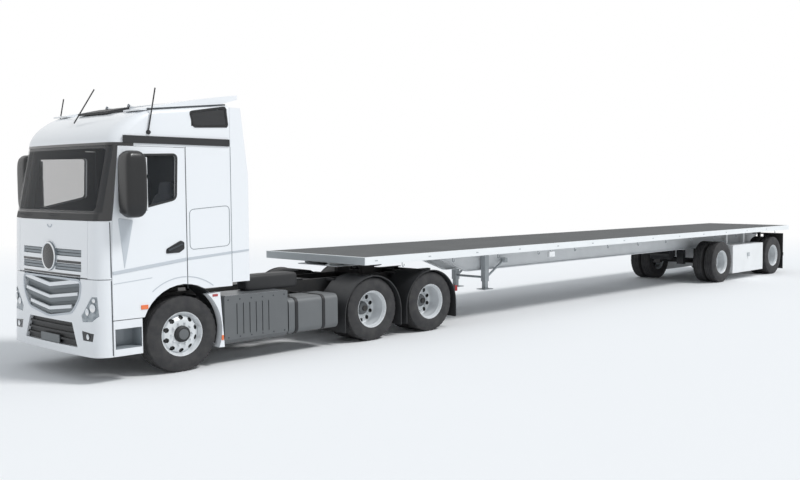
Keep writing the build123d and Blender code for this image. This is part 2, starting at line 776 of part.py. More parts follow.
# Doors with their glass, and the mirrors and handles on them
window_outline = [
    (axle_x + 858, 2133),
    (axle_x + 748, 2871),
    (axle_x + 73, 2896),
    (axle_x + 93, 2312),
]
window_r = 50
mirror_x = (axle_x + 650, axle_x + 915)
mirror_y = (1290, 1580)
mirror_z = (2120, 2890)
handle_x = (axle_x + 0, axle_x + 245)
handle_z = (1605, 1755)
for side, s in (("left", 1), ("right", -1)):
    y_in, y_out = sorted((s * (cab_half - wall - 20), s * (cab_half + 50)))
    with BuildPart() as door:
        add(layer(door_low, roof_low, 0, wall) & side_prism(door_outline, y_in, y_out))
        add(arch(arch_r + 2), mode=Mode.SUBTRACT)
        add(side_prism(window_outline, y_in, y_out, radius=window_r), mode=Mode.SUBTRACT)
    keep(door, f"door_{side}")

    g0, g1 = sorted((s * (cab_half - 28), s * (cab_half - 20)))
    with BuildPart() as door_glass:
        add(side_prism(window_outline, g0, g1, radius=window_r, grow=-seat))
    keep(door_glass, f"door_glass_{side}")

    with BuildPart() as door_fittings:
        with BuildSketch(Plane.XY.offset(mirror_z[0])):
            with Locations(((mirror_x[0] + mirror_x[1]) / 2, s * (mirror_y[0] + mirror_y[1]) / 2)):
                Polygon(*round_box(mirror_x[1] - mirror_x[0], mirror_y[1] - mirror_y[0], 60, 4), align=None)
        extrude(amount=mirror_z[1] - mirror_z[0])
        for z in (mirror_z[0] + 30, mirror_z[1] - 70):
            block(
                (mirror_x[1] - 120, mirror_x[1] - 30),
                (s * (cab_half + seat), s * (mirror_y[0] + 40)),
                (z, z + 60),
            )
        block(handle_x, (s * (cab_half + seat), s * (cab_half + 28)), handle_z)
    keep(door_fittings, f"door_fittings_{side}")

# Front flap with its two rows of slats and the round disc between them
slat_rows = ((1400, 1490), (1585, 1675))  # low and high edge of each opening
slat_y = (150, 820)
slat_deep = 30
slat_lead = 10  # from an opening's edge to its first slat
disc_z = 1567
disc_r = 190
slat_openings = []
for low, high in slat_rows:
    corners = [(slat_y[0], low), (slat_y[0], high), (slat_y[1], high), (slat_y[1], low)]
    slat_openings += both_sides(corners)
with BuildPart() as front_flap:
    add(
        layer(flap_low, screen_low - seam, 0, flap_thick)
        & front_prism([(-962, 0), (962, 0), (962, 4000), (-962, 4000)], *front_reach)
    )
    for points in slat_openings:
        add(front_prism(points, *front_reach), mode=Mode.SUBTRACT)
    rod((axle_x + 900, 0, disc_z), (nose_x + 50, 0, disc_z), disc_r + seat, mode=Mode.SUBTRACT)
keep(front_flap, "front_flap")

with BuildPart() as flap_grille:
    for points in slat_openings:
        opening = front_prism(points, *front_reach, grow=-seat)
        add(layer(flap_low, screen_low, 36, 10) & opening)
        low, high = points[0][1], points[1][1]
        for z in (low + slat_lead, high - slat_lead - slat_deep):
            corners = [(-flap_half, z), (flap_half, z), (flap_half, z + slat_deep), (-flap_half, z + slat_deep)]
            add(front_prism(corners, *front_reach) & layer(flap_low, screen_low, 10, 30) & opening)
    disc_x = nose_x + nose(disc_z)
    rod((disc_x - 40, 0, disc_z), (disc_x + 14, 0, disc_z), disc_r)
keep(flap_grille, "flap_grille")

# Steering: knuckles on their pins, joined by the track rod
lug_z = (boss_z[0] - 45, boss_z[1] + 45)
lug_gap = 3
arm_back = 200  # steering arms point straight back, so that the track rod keeps its direction
rod_z = lug_z[0] - 30
rod_pin_r = 12
rod_eye_r = 24
hub_y = front_face_y - 60
for side, s in (("left", 1), ("right", -1)):
    with BuildPart() as knuckle:
        rod((axle_x, s * kingpin_y, lug_z[0] - 10), (axle_x, s * kingpin_y, lug_z[1] + 10), pin_r)
        for z0, z1 in ((lug_z[0], boss_z[0] - lug_gap), (boss_z[1] + lug_gap, lug_z[1])):
            block((axle_x - 50, axle_x + 50), (s * (kingpin_y - 50), s * (kingpin_y + 90)), (z0, z1))
        block((axle_x - 70, axle_x + 70), (s * (kingpin_y + boss_r + 6), s * (kingpin_y + 90)), lug_z)
        rod((axle_x, s * (kingpin_y + 80), axle_z), (axle_x, s * hub_y, axle_z), spindle_r)
        arm_y = (s * (kingpin_y - 30), s * (kingpin_y + 30))
        block((axle_x - arm_back - 30, axle_x - 50), arm_y, (lug_z[0], lug_z[0] + 30))
        block((axle_x - 110, axle_x - 40), (arm_y[0], s * (kingpin_y + 50)), (lug_z[0], lug_z[0] + 30))
        rod(
            (axle_x - arm_back, s * kingpin_y, rod_z - 20),
            (axle_x - arm_back, s * kingpin_y, lug_z[0] + 5),
            rod_pin_r,
        )
    keep(knuckle, f"knuckle_{side}")

with BuildPart() as track_rod:
    rod((axle_x - arm_back, -kingpin_y, rod_z), (axle_x - arm_back, kingpin_y, rod_z), 17, bar_sides)
    for s in (1, -1):
        with Locations((axle_x - arm_back, s * kingpin_y, rod_z)):
            Cylinder(rod_eye_r, 46)
            Cylinder(rod_pin_r + seat, 60, mode=Mode.SUBTRACT)
keep(track_rod, "track_rod")


def wheel_corners(y, radius, sides):
    """Corners of a polygon round the wheel's axis at a distance along it, one of its flats at the bottom."""
    turn = 180 / sides
    around = arc(0, 0, radius / cos(radians(turn)), turn - 90, turn + 270, sides)[:-1]
    return [(x, y, z) for x, z in around]


def wheel_solid(sections, sides, ring=False):
    """A solid of flat facets about the wheel's axis, through sections of a distance along it and a radius.

    A ring's last section leads back to its first, and another solid has flat ends.
    """
    outlines = [wheel_corners(y, radius, sides) for y, radius in sections]
    faces = [] if ring else [Face(Wire.make_polygon(end)) for end in (outlines[0], outlines[-1])]
    for first, second in zip(outlines, outlines[1:] + outlines[:ring]):
        for i in range(sides):
            j = (i + 1) % sides
            faces.append(Face(Wire.make_polygon([first[i], first[j], second[j], second[i]])))
    return Solid(Shell(faces))


@cache
def tyre(radius, width, sides):
    """A tyre about the origin as a ring of flat facets: bead, bulge, shoulder and tread."""
    half = width / 2
    bulge_r = bead_r + 0.58 * (radius - bead_r)
    sections = (  # distance along the axis, radius
        (-0.80 * half, bead_r),
        (-half, bulge_r),
        (-0.82 * half, radius),
        (0.82 * half, radius),
        (half, bulge_r),
        (0.80 * half, bead_r),
    )
    return wheel_solid(sections, sides, ring=True)


@cache
def rim(width, root, face, hub_in, hub_out, sides, holes):
    """A wheel about the origin: a rim ring, a dished disc with hand holes, and a hub."""
    half = 0.42 * width
    seat_r = bead_r - seat
    inner_r = seat_r - rim_t
    root_r = seat_r - rim_t / 2
    back = rim_t if face < root else -rim_t
    ring = wheel_solid(((-half, seat_r), (half, seat_r), (half, inner_r), (-half, inner_r)), sides, ring=True)
    dish = wheel_solid(((root, root_r), (face, face_r)), sides)
    dish -= wheel_solid(((root + back, root_r), (face + back, face_r)), sides)
    if holes:
        hole_circle = (seat_r + face_r) / 2
        with BuildSketch(Plane((0, min(root, face) - 5, 0), x_dir=(1, 0, 0), z_dir=(0, 1, 0))) as cuts:
            with PolarLocations(hole_circle, holes, start_angle=90):
                RegularPolygon(hand_hole_r, 6)
        dish -= extrude(cuts.sketch, amount=abs(root - face) + 10, mode=Mode.PRIVATE)
    return ring + dish + wheel_solid(((hub_in, hub_r), (hub_out, hub_r)), hub_sides)


def placed(shape, x, y, z, s):
    """A wheel or tyre moved to its axle, its outer face turned to side s."""
    return shape.moved(Location((x, y, z), (0, 0, 0 if s > 0 else 180)))


# Wheels: single at the front, twin on the drive and trailer axles
for side, s in (("left", 1), ("right", -1)):
    y = s * (front_face_y - tractor_tyre_w / 2)
    with BuildPart() as front_tyre:
        add(placed(tyre(tractor_tyre_r, tractor_tyre_w, tyre_sides), axle_x, y, axle_z, s))
    keep(front_tyre, f"tyre_front_{side}")
    with BuildPart() as front_rim:
        add(placed(rim(tractor_tyre_w, 50, 115, 40, 150, tyre_sides, hand_holes), axle_x, y, axle_z, s))
        bore_y = (s * kingpin_y, s * (hub_y + seat))
        rod((axle_x, bore_y[0], axle_z), (axle_x, bore_y[1], axle_z), spindle_r + seat, mode=Mode.SUBTRACT)
    keep(front_rim, f"rim_front_{side}")

twin_axles = (  # name, station, radius, tyre width, outer face, twin spacing
    ("drive_1", drive_x[0], tractor_tyre_r, drive_tyre_w, drive_face_y, drive_twin),
    ("drive_2", drive_x[1], tractor_tyre_r, drive_tyre_w, drive_face_y, drive_twin),
    ("trailer_1", trailer_x[0], trailer_tyre_r, trailer_tyre_w, trailer_face_y, trailer_twin),
    ("trailer_2", trailer_x[1], trailer_tyre_r, trailer_tyre_w, trailer_face_y, trailer_twin),
)
for name, x, radius, width, face_y, twin in twin_axles:
    for side, s in (("left", 1), ("right", -1)):
        outer_y = s * (face_y - width / 2)
        inner_y = outer_y - s * twin
        with BuildPart() as tyres:
            add(placed(tyre(radius, width, tyre_sides), x, outer_y, radius, s))
            add(placed(tyre(radius, width, inner_tyre_sides), x, inner_y, radius, s))
        keep(tyres, f"tyres_{name}_{side}")
        with BuildPart() as rims:
            outer_rim = rim(width, -40, -twin / 2, -twin / 2, 0, tyre_sides, hand_holes)
            inner_rim = rim(width, -40, -twin / 2, -twin / 2, 60 - twin / 2, inner_tyre_sides, 0)
            add(placed(outer_rim, x, outer_y, radius, s))
            add(placed(inner_rim, x, inner_y, radius, -s))
            rod((x, 0, radius), (x, s * (face_y - 190 + seat), radius), spindle_r + seat, mode=Mode.SUBTRACT)
        keep(rims, f"rims_{name}_{side}")

# Trailer frame: two main beams with a raised neck, cross members, coupler plate and king pin
deck_t = 40
rail_t = 40
rail_deep = 125
beam_y = 290
beam_web = 12
beam_flange = 100
beam_low = 840
neck_low = coupling_high + plate_gap + 12
member_pitch = 500
member_deep = 90
member_w = 60
deck_low = deck_high - deck_t
half_trailer = trailer_width / 2
neck_end = kingpin_x - 1650
beam_start = kingpin_x - 2540
trailer_axle_z = trailer_tyre_r
arm_y = (370, 440)
hanger_lead = 560
bag_back = 210
arm_z = (500, 590)
beam_points = [
    (trailer_nose - 60, deck_low),
    (trailer_end + 80, deck_low),
    (trailer_end + 80, beam_low),
    (beam_start, beam_low),
    (neck_end, neck_low),
    (trailer_nose - 60, neck_low),
]
flange_t = 16
pin_head_r = 36
member_count = int((trailer_length - 200) // member_pitch) + 1
member_stations = [trailer_nose - 100 - i * member_pitch for i in range(member_count)]
with BuildPart() as trailer_frame:
    for s in (1, -1):
        y0, y1 = sorted((s * beam_y, s * (beam_y + beam_web)))
        f0, f1 = sorted((s * (beam_y - beam_flange / 2), s * (beam_y + beam_flange / 2)))
        add(side_prism(beam_points, y0, y1))
        low_edge = [(x, z) for x, z in beam_points[2:]]
        add(side_prism(low_edge + [(x, z + flange_t) for x, z in reversed(low_edge)], f0, f1))
    for x in member_stations:
        block(
            (x - member_w / 2, x + member_w / 2),
            (-(half_trailer - rail_t - seat), half_trailer - rail_t - seat),
            (deck_low - member_deep, deck_low),
        )
    block((kingpin_x - 620, trailer_nose - 80), (-520, 520), (neck_low - 12, neck_low))
    rod((kingpin_x, 0, neck_low - 5), (kingpin_x, 0, neck_low - 12 - 84), pin_shank_r)
    rod((kingpin_x, 0, neck_low - 12 - 70), (kingpin_x, 0, neck_low - 12 - 84), pin_head_r)
    for x in trailer_x:
        for s in (1, -1):
            hanger_x = (x + hanger_lead - 60, x + hanger_lead + 60)
            block(hanger_x, (s * 250, s * arm_y[1]), (arm_z[0] - 30, beam_low + 10))
            block((x - bag_back - 130, x - bag_back + 130), (s * 240, s * 520), (beam_low - 10, beam_low + 2))
    tank_x0 = trailer_x[0] + 950
    rod((tank_x0, -beam_y, beam_low - 120), (tank_x0, beam_y, beam_low - 120), 125, drum_sides)
    for s in (1, -1):
        block((tank_x0 - 20, tank_x0 + 20), (s * 200, s * 300), (beam_low - 60, beam_low + 20))
keep(trailer_frame, "trailer_frame")

with BuildPart() as trailer_deck:
    block(
        (trailer_end + rail_t + seat, trailer_nose - rail_t - seat),
        (-(half_trailer - rail_t - seat), half_trailer - rail_t - seat),
        (deck_low, deck_high),
    )
keep(trailer_deck, "trailer_deck")

with BuildPart() as deck_rails:
    middle = (trailer_nose + trailer_end) / 2
    with BuildSketch(Plane.XY.offset(deck_high - rail_deep)):
        with Locations((middle, 0)):
            Rectangle(trailer_length, trailer_width)
            Rectangle(trailer_length - 2 * rail_t, trailer_width - 2 * rail_t, mode=Mode.SUBTRACT)
    extrude(amount=rail_deep)
keep(deck_rails, "deck_rails")

# Landing gear: two legs with feet, a cross shaft and braces
leg_x = kingpin_x - 2970
leg_y = beam_y + beam_flange / 2 + seat
leg_w = 110
foot_low = 465
with BuildPart() as landing_gear:
    for s in (1, -1):
        mid_y = s * (leg_y + leg_w / 2)
        side_y = (s * leg_y, s * (leg_y + leg_w))
        block((leg_x - leg_w / 2, leg_x + leg_w / 2), side_y, (620, deck_low - member_deep))
        block((leg_x - 42, leg_x + 42), (mid_y - 42, mid_y + 42), (foot_low, 640))
        block((leg_x - 125, leg_x + 125), (mid_y - 110, mid_y + 110), (foot_low, foot_low + 14))
        rod((leg_x - 20, mid_y, 680), (leg_x - 560, mid_y, 1010), 22, thin_sides)
        block((leg_x - 620, leg_x - 530), side_y, (960, 1050))
    rod((leg_x, -leg_y - 20, 700), (leg_x, leg_y + 20, 700), 22, thin_sides)
keep(landing_gear, "landing_gear")

# Trailer axles, each with its trailing arms and air springs
trailer_inner_face = trailer_face_y - trailer_tyre_w - trailer_twin
with BuildPart() as trailer_axles:
    for x in trailer_x:
        tube_end = trailer_inner_face - 20
        rod((x, -tube_end, trailer_axle_z), (x, tube_end, trailer_axle_z), 68, bar_sides)
        spindle_end = trailer_face_y - 190
        rod((x, -spindle_end, trailer_axle_z), (x, spindle_end, trailer_axle_z), spindle_r)
        for s in (1, -1):
            block((x - bag_back - 120, x + hanger_lead - 60 - seat), (s * arm_y[0], s * arm_y[1]), arm_z)
            mid_y = s * (arm_y[0] + arm_y[1]) / 2
            bag_x = x - bag_back
            rod((bag_x, mid_y, arm_z[1]), (bag_x, mid_y, beam_low - 10 - seat), bag_r, drum_sides)
keep(trailer_axles, "trailer_axles")

# Toolboxes between the trailer's wheels, and their drop-down doors
tool_x = (trailer_x[1] + trailer_tyre_r + 185, trailer_x[0] - trailer_tyre_r - 60)
tool_y = (760, 1245)
tool_z = (190, 925)
tool_wall = 20
tool_members = [x for x in member_stations if tool_x[0] + 100 < x < tool_x[1] - 100]
with BuildPart() as toolboxes:
    for s in (1, -1):
        block(tool_x, (s * tool_y[0], s * (tool_y[1] - tool_wall - seat)), tool_z)
        block(
            (tool_x[0] + tool_wall, tool_x[1] - tool_wall),
            (s * (tool_y[0] + tool_wall), s * tool_y[1]),
            (tool_z[0] + tool_wall, tool_z[1] - tool_wall),
            mode=Mode.SUBTRACT,
        )
        for x in (tool_members[0], tool_members[-1]):
            block((x - 40, x + 40), (s * 800, s * 880), (tool_z[1], deck_low - member_deep))
keep(toolboxes, "toolboxes")
for side, s in (("left", 1), ("right", -1)):
    with BuildPart() as tool_door:
        block(tool_x, (s * (tool_y[1] - tool_wall), s * tool_y[1]), tool_z)
        mid_x = (tool_x[0] + tool_x[1]) / 2
        mid_z = (tool_z[0] + tool_z[1]) / 2
        block((mid_x - 50, mid_x + 50), (s * (tool_y[1] - 5), s * (tool_y[1] + 8)), (mid_z - 30, mid_z + 30))
    keep(tool_door, f"toolbox_door_{side}")

# Rear guard: underride bar on two posts, mudflaps and rear lamps
flap_x = trailer_x[1] - trailer_tyre_r - 90
with BuildPart() as rear_guard:
    block((trailer_end + 30, trailer_end + 110), (-1150, 1150), (460, 560))
    for s in (1, -1):
        block((trailer_end + 40, trailer_end + 100), (s * 360, s * 440), (540, deck_low - member_deep + 50))
        block((flap_x - 10, flap_x), (s * 640, s * 1250), (110, 1100))
        block((flap_x - 12, flap_x + 12), (s * (beam_y + beam_web + seat), s * 1250), (1090, 1130))
keep(rear_guard, "rear_guard")
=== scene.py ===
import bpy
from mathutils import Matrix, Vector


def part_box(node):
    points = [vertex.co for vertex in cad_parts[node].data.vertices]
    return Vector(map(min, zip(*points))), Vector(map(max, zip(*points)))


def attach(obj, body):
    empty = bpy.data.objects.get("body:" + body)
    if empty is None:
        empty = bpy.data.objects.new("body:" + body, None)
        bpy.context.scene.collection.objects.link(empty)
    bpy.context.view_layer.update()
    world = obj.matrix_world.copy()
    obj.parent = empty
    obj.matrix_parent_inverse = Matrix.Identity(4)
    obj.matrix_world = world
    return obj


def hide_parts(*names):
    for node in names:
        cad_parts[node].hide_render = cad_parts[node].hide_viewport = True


bl_info = {
    "name": "Articulated flatbed lorry",
    "version": (1, 0, 0),
    "blender": (4, 5, 0),
    "location": "View3D > Sidebar > Lorry",
    "description": "Dresses the packed lorry with finishes, tyres, wheels and trim on a plain stage",
    "category": "Object",
}

from math import cos, pi, radians, sin, sqrt

import bmesh
import bpy
import numpy as np
from mathutils import Vector

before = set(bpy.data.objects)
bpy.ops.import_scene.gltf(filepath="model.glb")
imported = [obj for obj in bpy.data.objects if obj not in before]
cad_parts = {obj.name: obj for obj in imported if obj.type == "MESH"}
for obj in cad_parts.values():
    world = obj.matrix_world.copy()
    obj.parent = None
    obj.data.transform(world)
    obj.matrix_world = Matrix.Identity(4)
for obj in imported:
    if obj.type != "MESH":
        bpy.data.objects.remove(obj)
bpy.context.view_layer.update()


def middle(node):
    """Centre of a node's box."""
    low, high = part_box(node)
    return (low + high) / 2


# Places read from the frame, in metres
AXLE_X = middle("tyre_front_left").x
CAB_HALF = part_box("cab_shell")[1].y
NOSE_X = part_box("front_bumper")[1].x
SIDES = (("left", 1), ("right", -1))
FORWARD = (1, 0, 0)
UP = (0, 0, 1)

# The cab's front: it leans back in steps, bows across and turns round its corners
BUMPER_LOW = 0.34
SCREEN_LOW = 2.05
ROOF_LOW = 3.03
FRONT_LEANS = (0.03, 0.20)
FRONT_BOW = 0.05
CORNER_R = 0.20
BOW_END = CAB_HALF - CORNER_R


def linear(hex_colour):
    """sRGB hex to the linear red, green, blue and alpha that shaders take."""
    srgb = np.array([int(hex_colour[i : i + 2], 16) / 255 for i in (1, 3, 5)])
    rgb = np.where(srgb <= 0.04045, srgb / 12.92, ((srgb + 0.055) / 1.055) ** 2.4)
    return (*rgb.tolist(), 1.0)


class LorrySizes(bpy.types.PropertyGroup):
    """Sizes of the trim that a user may change."""

    tread_depth: bpy.props.FloatProperty(
        name="Tread depth", description="Depth of the tyres' grooves", default=0.013, unit="LENGTH"
    )
    groove_width: bpy.props.FloatProperty(
        name="Groove width", description="Width of the grooves round the tread", default=0.012, unit="LENGTH"
    )
    nut_circle: bpy.props.FloatProperty(
        name="Nut circle", description="Radius of the circle of wheel nuts", default=0.1675, unit="LENGTH"
    )
    nut_width: bpy.props.FloatProperty(
        name="Nut width", description="Width of a wheel nut across its flats", default=0.032, unit="LENGTH"
    )
    hook_pitch: bpy.props.FloatProperty(
        name="Hook pitch", description="Distance between the hooks under the rails", default=1.2, unit="LENGTH"
    )


class LorryColours(bpy.types.PropertyGroup):
    """Colours that a user may change."""

    paint: bpy.props.FloatVectorProperty(
        name="Cab paint", description="Cab's paint", subtype="COLOR", size=4, default=linear("#eceff2")
    )
    beam: bpy.props.FloatVectorProperty(
        name="Trailer", description="Paint of the beams", subtype="COLOR", size=4, default=linear("#eef1f3")
    )
    deck: bpy.props.FloatVectorProperty(
        name="Deck", description="Boards of the deck", subtype="COLOR", size=4, default=linear("#4b4d4e")
    )
    floor: bpy.props.FloatVectorProperty(
        name="Floor", description="Stage floor", subtype="COLOR", size=4, default=linear("#f4f5f6")
    )


# Boxes of Object coordinates in which a solid has another colour, in metres; Y is measured to either side
CAB_INSIDE = {"X": (AXLE_X - 0.68, AXLE_X + 0.912), "Y": (0.0, CAB_HALF - 0.05), "Z": (1.1, 3.3)}
DOOR_HEAD = {"X": (AXLE_X + 0.66, AXLE_X + 0.95), "Y": (1.0, CAB_HALF + 0.01), "Z": (2.988, 3.06)}
DOOR_INSIDE = {"Y": (0.0, CAB_HALF - 0.05), "Z": (0.9, 3.1)}
TANK_STRAPS = [{"X": (AXLE_X - mid - 0.028, AXLE_X - mid + 0.028)} for mid in (1.812, 2.312)]
# The step well's recess takes a grey: painted shade
STEP_WELL_SHADE = {"X": (AXLE_X + 0.600, AXLE_X + 0.957), "Y": (0.90, CAB_HALF - 0.004), "Z": (0.427, 0.688)}
FENDER_STRIP = {"X": (AXLE_X - 0.600, AXLE_X - 0.345), "Y": (1.105, 1.26), "Z": (0.25, 1.03)}
INTAKE = {"Z": (0.30, 0.78)}
FOG_RECESS = {"X": (AXLE_X, NOSE_X), "Z": (0.50, 0.70)}
TAIL_LAMPS = {"X": (0.0, AXLE_X - 3.0)}
UNDER_BEAM = {"Z": (0.0, 0.838)}
# The small windows in the roof's sides are boxes side by side, whose tops fall towards the front
PANE_MIDDLES = (-0.62, -0.48, -0.34, -0.22)
PANE_HALF = 0.07
PANE_LOW = 3.280
PANE_HIGH = 3.437
PANE_FALL = 0.162
ROOF_PANES = [
    {
        "X": (AXLE_X + mid - PANE_HALF, AXLE_X + mid + PANE_HALF),
        "Y": (1.2, 1.3),
        "Z": (PANE_LOW, PANE_HIGH - PANE_FALL * mid),
    }
    for mid in PANE_MIDDLES
]
# The black pillar's rear edge: x from the front axle and height, at its low and high ends
PILLAR_LOW = (0.93, 2.10)
PILLAR_HIGH = (0.80, 3.03)

# Finishes: sizes of their patterns are in millimetres, and MATERIALS holds them by name
MM = 0.001
SHARE, FIRST, SECOND = 0, 6, 7  # inputs of a colour mix by number, because their names repeat
PATCH_RANGE = (0.35, 0.75)  # of a noise, over which one colour gives way to another
GRAIN_RANGE = (0.3, 0.7)  # of a finer or fainter noise
GRAIN_SHEEN = (0.88, 1.14)  # least and most roughness over the finish's own
FILM_HEIGHTS = (0.25, 1.1)  # road film thins out between these, in metres
FILM_SHARE = 0.22
FLOOR_FADE = (14, 30)  # metres
MATERIALS = {}


def add_node(tree, kind, inputs=(), **settings):
    """Adds a node, sets its properties and fills its inputs, in order, by name or by number.

    An input takes a value, another node's output, or a node, which stands for its first live output.
    """
    made = tree.nodes.new(kind)
    for key, value in settings.items():
        setattr(made, key, value)
    for key, value in inputs.items() if isinstance(inputs, dict) else enumerate(inputs):
        if isinstance(value, bpy.types.Node):
            value = next(output for output in value.outputs if output.enabled)
        if isinstance(value, bpy.types.NodeSocket):
            tree.links.new(value, made.inputs[key])
        else:
            made.inputs[key].default_value = value
    return made


def new_material(name):
    """An empty material on the list of finishes: its node tree, and the surface's place in metres."""
    made = bpy.data.materials.new(name)
    made.use_nodes = True
    made.node_tree.nodes.clear()
    MATERIALS[name] = made
    return made.node_tree, add_node(made.node_tree, "ShaderNodeTexCoord").outputs["Object"]


def zoned(tree, place, shade, zones):
    """A shade with another colour inside boxes; a box's share is one where every axis is in its limits."""
    for limits, other in zones:
        axes = add_node(tree, "ShaderNodeSeparateXYZ", [place]).outputs
        share = 1.0
        for axis, (low, high) in limits.items():
            value = axes[axis]
            if axis == "Y":
                value = add_node(tree, "ShaderNodeMath", [value], operation="ABSOLUTE")
            limit = [value, (low + high) / 2, (high - low) / 2]
            inside = add_node(tree, "ShaderNodeMath", limit, operation="COMPARE")
            share = add_node(tree, "ShaderNodeMath", [inside, share], operation="MULTIPLY")
        shade = add_node(tree, "ShaderNodeMix", {SHARE: share, FIRST: shade, SECOND: other}, data_type="RGBA")
    return shade


def wear_and_glint_patches(name, colour, drift, roughness, metallic=0.0, patch=350, grain=2, depth=0.4, share=0.25, zones=()):
    """A surface whose colour drifts to another in patches, and a grain breaks up its sheen: the patches are
    wear and dust on most finishes, and painted glints on the lamps' lens.

    Real grain is well under a millimetre; it is drawn at 2 mm or more so that it shows.
    """
    tree, place = new_material(name)
    patches = add_node(tree, "ShaderNodeTexNoise", {"Vector": place, "Scale": 1 / (patch * MM), "Detail": 4.0})
    patches = add_node(tree, "ShaderNodeMapRange", [patches, *PATCH_RANGE, 0.0, share])
    shade = add_node(tree, "ShaderNodeMix", {SHARE: patches, FIRST: colour, SECOND: drift}, data_type="RGBA")
    fine = add_node(tree, "ShaderNodeTexNoise", {"Vector": place, "Scale": 1 / (grain * MM), "Detail": 2.0})
    smooth, rough = roughness * GRAIN_SHEEN[0], min(1, roughness * GRAIN_SHEEN[1])
    looks = {
        "Base Color": zoned(tree, place, shade, zones),
        "Roughness": add_node(tree, "ShaderNodeMapRange", [fine, *GRAIN_RANGE, smooth, rough]),
        "Metallic": metallic,
        "Normal": add_node(tree, "ShaderNodeBump", {"Height": fine, "Strength": 0.35, "Distance": depth * MM}),
    }
    shader = add_node(tree, "ShaderNodeBsdfPrincipled", looks)
    add_node(tree, "ShaderNodeOutputMaterial", [shader])


def lacquer(tree, place, shade):
    """Ends a sprayed enamel: a clear gloss coat over its colour, with orange peel about 12 mm wide."""
    peel = add_node(tree, "ShaderNodeTexNoise", {"Vector": place, "Scale": 1 / (12 * MM), "Detail": 1.0})
    looks = {
        "Base Color": shade,
        "Roughness": 0.32,
        "Coat Weight": 0.6,
        "Coat Roughness": 0.06,
        "Normal": add_node(tree, "ShaderNodeBump", {"Height": peel, "Strength": 0.06, "Distance": 0.4 * MM}),
    }
    shader = add_node(tree, "ShaderNodeBsdfPrincipled", looks)
    add_node(tree, "ShaderNodeOutputMaterial", [shader])


def gloss_paint(name, colour, zones=()):
    """Two-coat gloss enamel: even and bright, with a little grey road film low down."""
    tree, place = new_material(name)
    height = add_node(tree, "ShaderNodeSeparateXYZ", [place]).outputs["Z"]
    low_down = add_node(tree, "ShaderNodeMapRange", [height, *FILM_HEIGHTS, FILM_SHARE, 0.0])
    patches = add_node(tree, "ShaderNodeTexNoise", {"Vector": place, "Scale": 1 / (220 * MM), "Detail": 4.0})
    film = add_node(tree, "ShaderNodeMath", [low_down, patches], operation="MULTIPLY")
    dusty = {SHARE: film, FIRST: colour, SECOND: linear("#a9a59d")}
    shade = add_node(tree, "ShaderNodeMix", dusty, data_type="RGBA")
    lacquer(tree, place, zoned(tree, place, shade, zones))


def cab_paint(name, colour, black):
    """The cab shell's gloss enamel, with the black surround of the windscreen along its pillars."""
    tree, place = new_material(name)
    axes = add_node(tree, "ShaderNodeSeparateXYZ", [place]).outputs
    # The black edge runs from the cowl's end up the pillar, leaning back with the glass
    pillar = [PILLAR_LOW[1], PILLAR_HIGH[1], AXLE_X + PILLAR_LOW[0], AXLE_X + PILLAR_HIGH[0]]
    lean = add_node(tree, "ShaderNodeMapRange", [axes["Z"], *pillar])
    ahead = add_node(tree, "ShaderNodeMath", [axes["X"], lean], operation="GREATER_THAN")
    above = add_node(tree, "ShaderNodeMath", [axes["Z"], SCREEN_LOW], operation="GREATER_THAN")
    mask = add_node(tree, "ShaderNodeMath", [ahead, above], operation="MULTIPLY")
    shade = add_node(tree, "ShaderNodeMix", {SHARE: mask, FIRST: colour, SECOND: black}, data_type="RGBA")
    lacquer(tree, place, zoned(tree, place, shade, [(CAB_INSIDE, black), (DOOR_HEAD, black)]))


def tinted_glass(name, tint):
    """Grey tinted safety glass: clear enough to see the seats through, with a faint wave in what it mirrors."""
    tree, place = new_material(name)
    wave = add_node(tree, "ShaderNodeTexNoise", {"Vector": place, "Scale": 1 / (600 * MM), "Detail": 1.0})
    looks = {
        "Base Color": tint,
        "Roughness": 0.03,
        "IOR": 1.5,
        "Alpha": 0.20,
        "Normal": add_node(tree, "ShaderNodeBump", {"Height": wave, "Strength": 0.02, "Distance": 0.5 * MM}),
    }
    shader = add_node(tree, "ShaderNodeBsdfPrincipled", looks)
    add_node(tree, "ShaderNodeOutputMaterial", [shader])


def ribbed_lens(name, colour):
    """A moulded lamp lens: bright coloured acrylic, banded by ribs drawn at 12 mm so that they show."""
    tree, place = new_material(name)
    bands = {"Vector": place, "Scale": 1 / (12 * MM)}
    ribs = add_node(tree, "ShaderNodeTexWave", bands, bands_direction="Z").outputs[1]
    share = add_node(tree, "ShaderNodeMapRange", [ribs, 0, 1, 0.0, 0.1])
    pale = {SHARE: share, FIRST: colour, SECOND: linear("#ffffff")}
    looks = {
        "Base Color": add_node(tree, "ShaderNodeMix", pale, data_type="RGBA"),
        "Roughness": 0.12,
        "Coat Weight": 0.5,
        "Normal": add_node(tree, "ShaderNodeBump", {"Height": ribs, "Strength": 0.3, "Distance": 0.8 * MM}),
    }
    shader = add_node(tree, "ShaderNodeBsdfPrincipled", looks)
    add_node(tree, "ShaderNodeOutputMaterial", [shader])


def tread_plate(name, low, high):
    """Rolled tread plate: a bright grid of raised diamonds, 30 mm apart, dulled between them."""
    tree, place = new_material(name)
    turn = add_node(tree, "ShaderNodeMapping", {"Vector": place, "Rotation": (0, 0, pi / 4)})
    checks = add_node(tree, "ShaderNodeTexChecker", {"Vector": turn, "Scale": 1 / (30 * MM)}).outputs["Fac"]
    shade = {SHARE: checks, FIRST: low, SECOND: high}
    looks = {
        "Base Color": add_node(tree, "ShaderNodeMix", shade, data_type="RGBA"),
        "Metallic": 0.6,
        "Roughness": 0.4,
        "Normal": add_node(tree, "ShaderNodeBump", {"Height": checks, "Strength": 0.5, "Distance": 2 * MM}),
    }
    shader = add_node(tree, "ShaderNodeBsdfPrincipled", looks)
    add_node(tree, "ShaderNodeOutputMaterial", [shader])


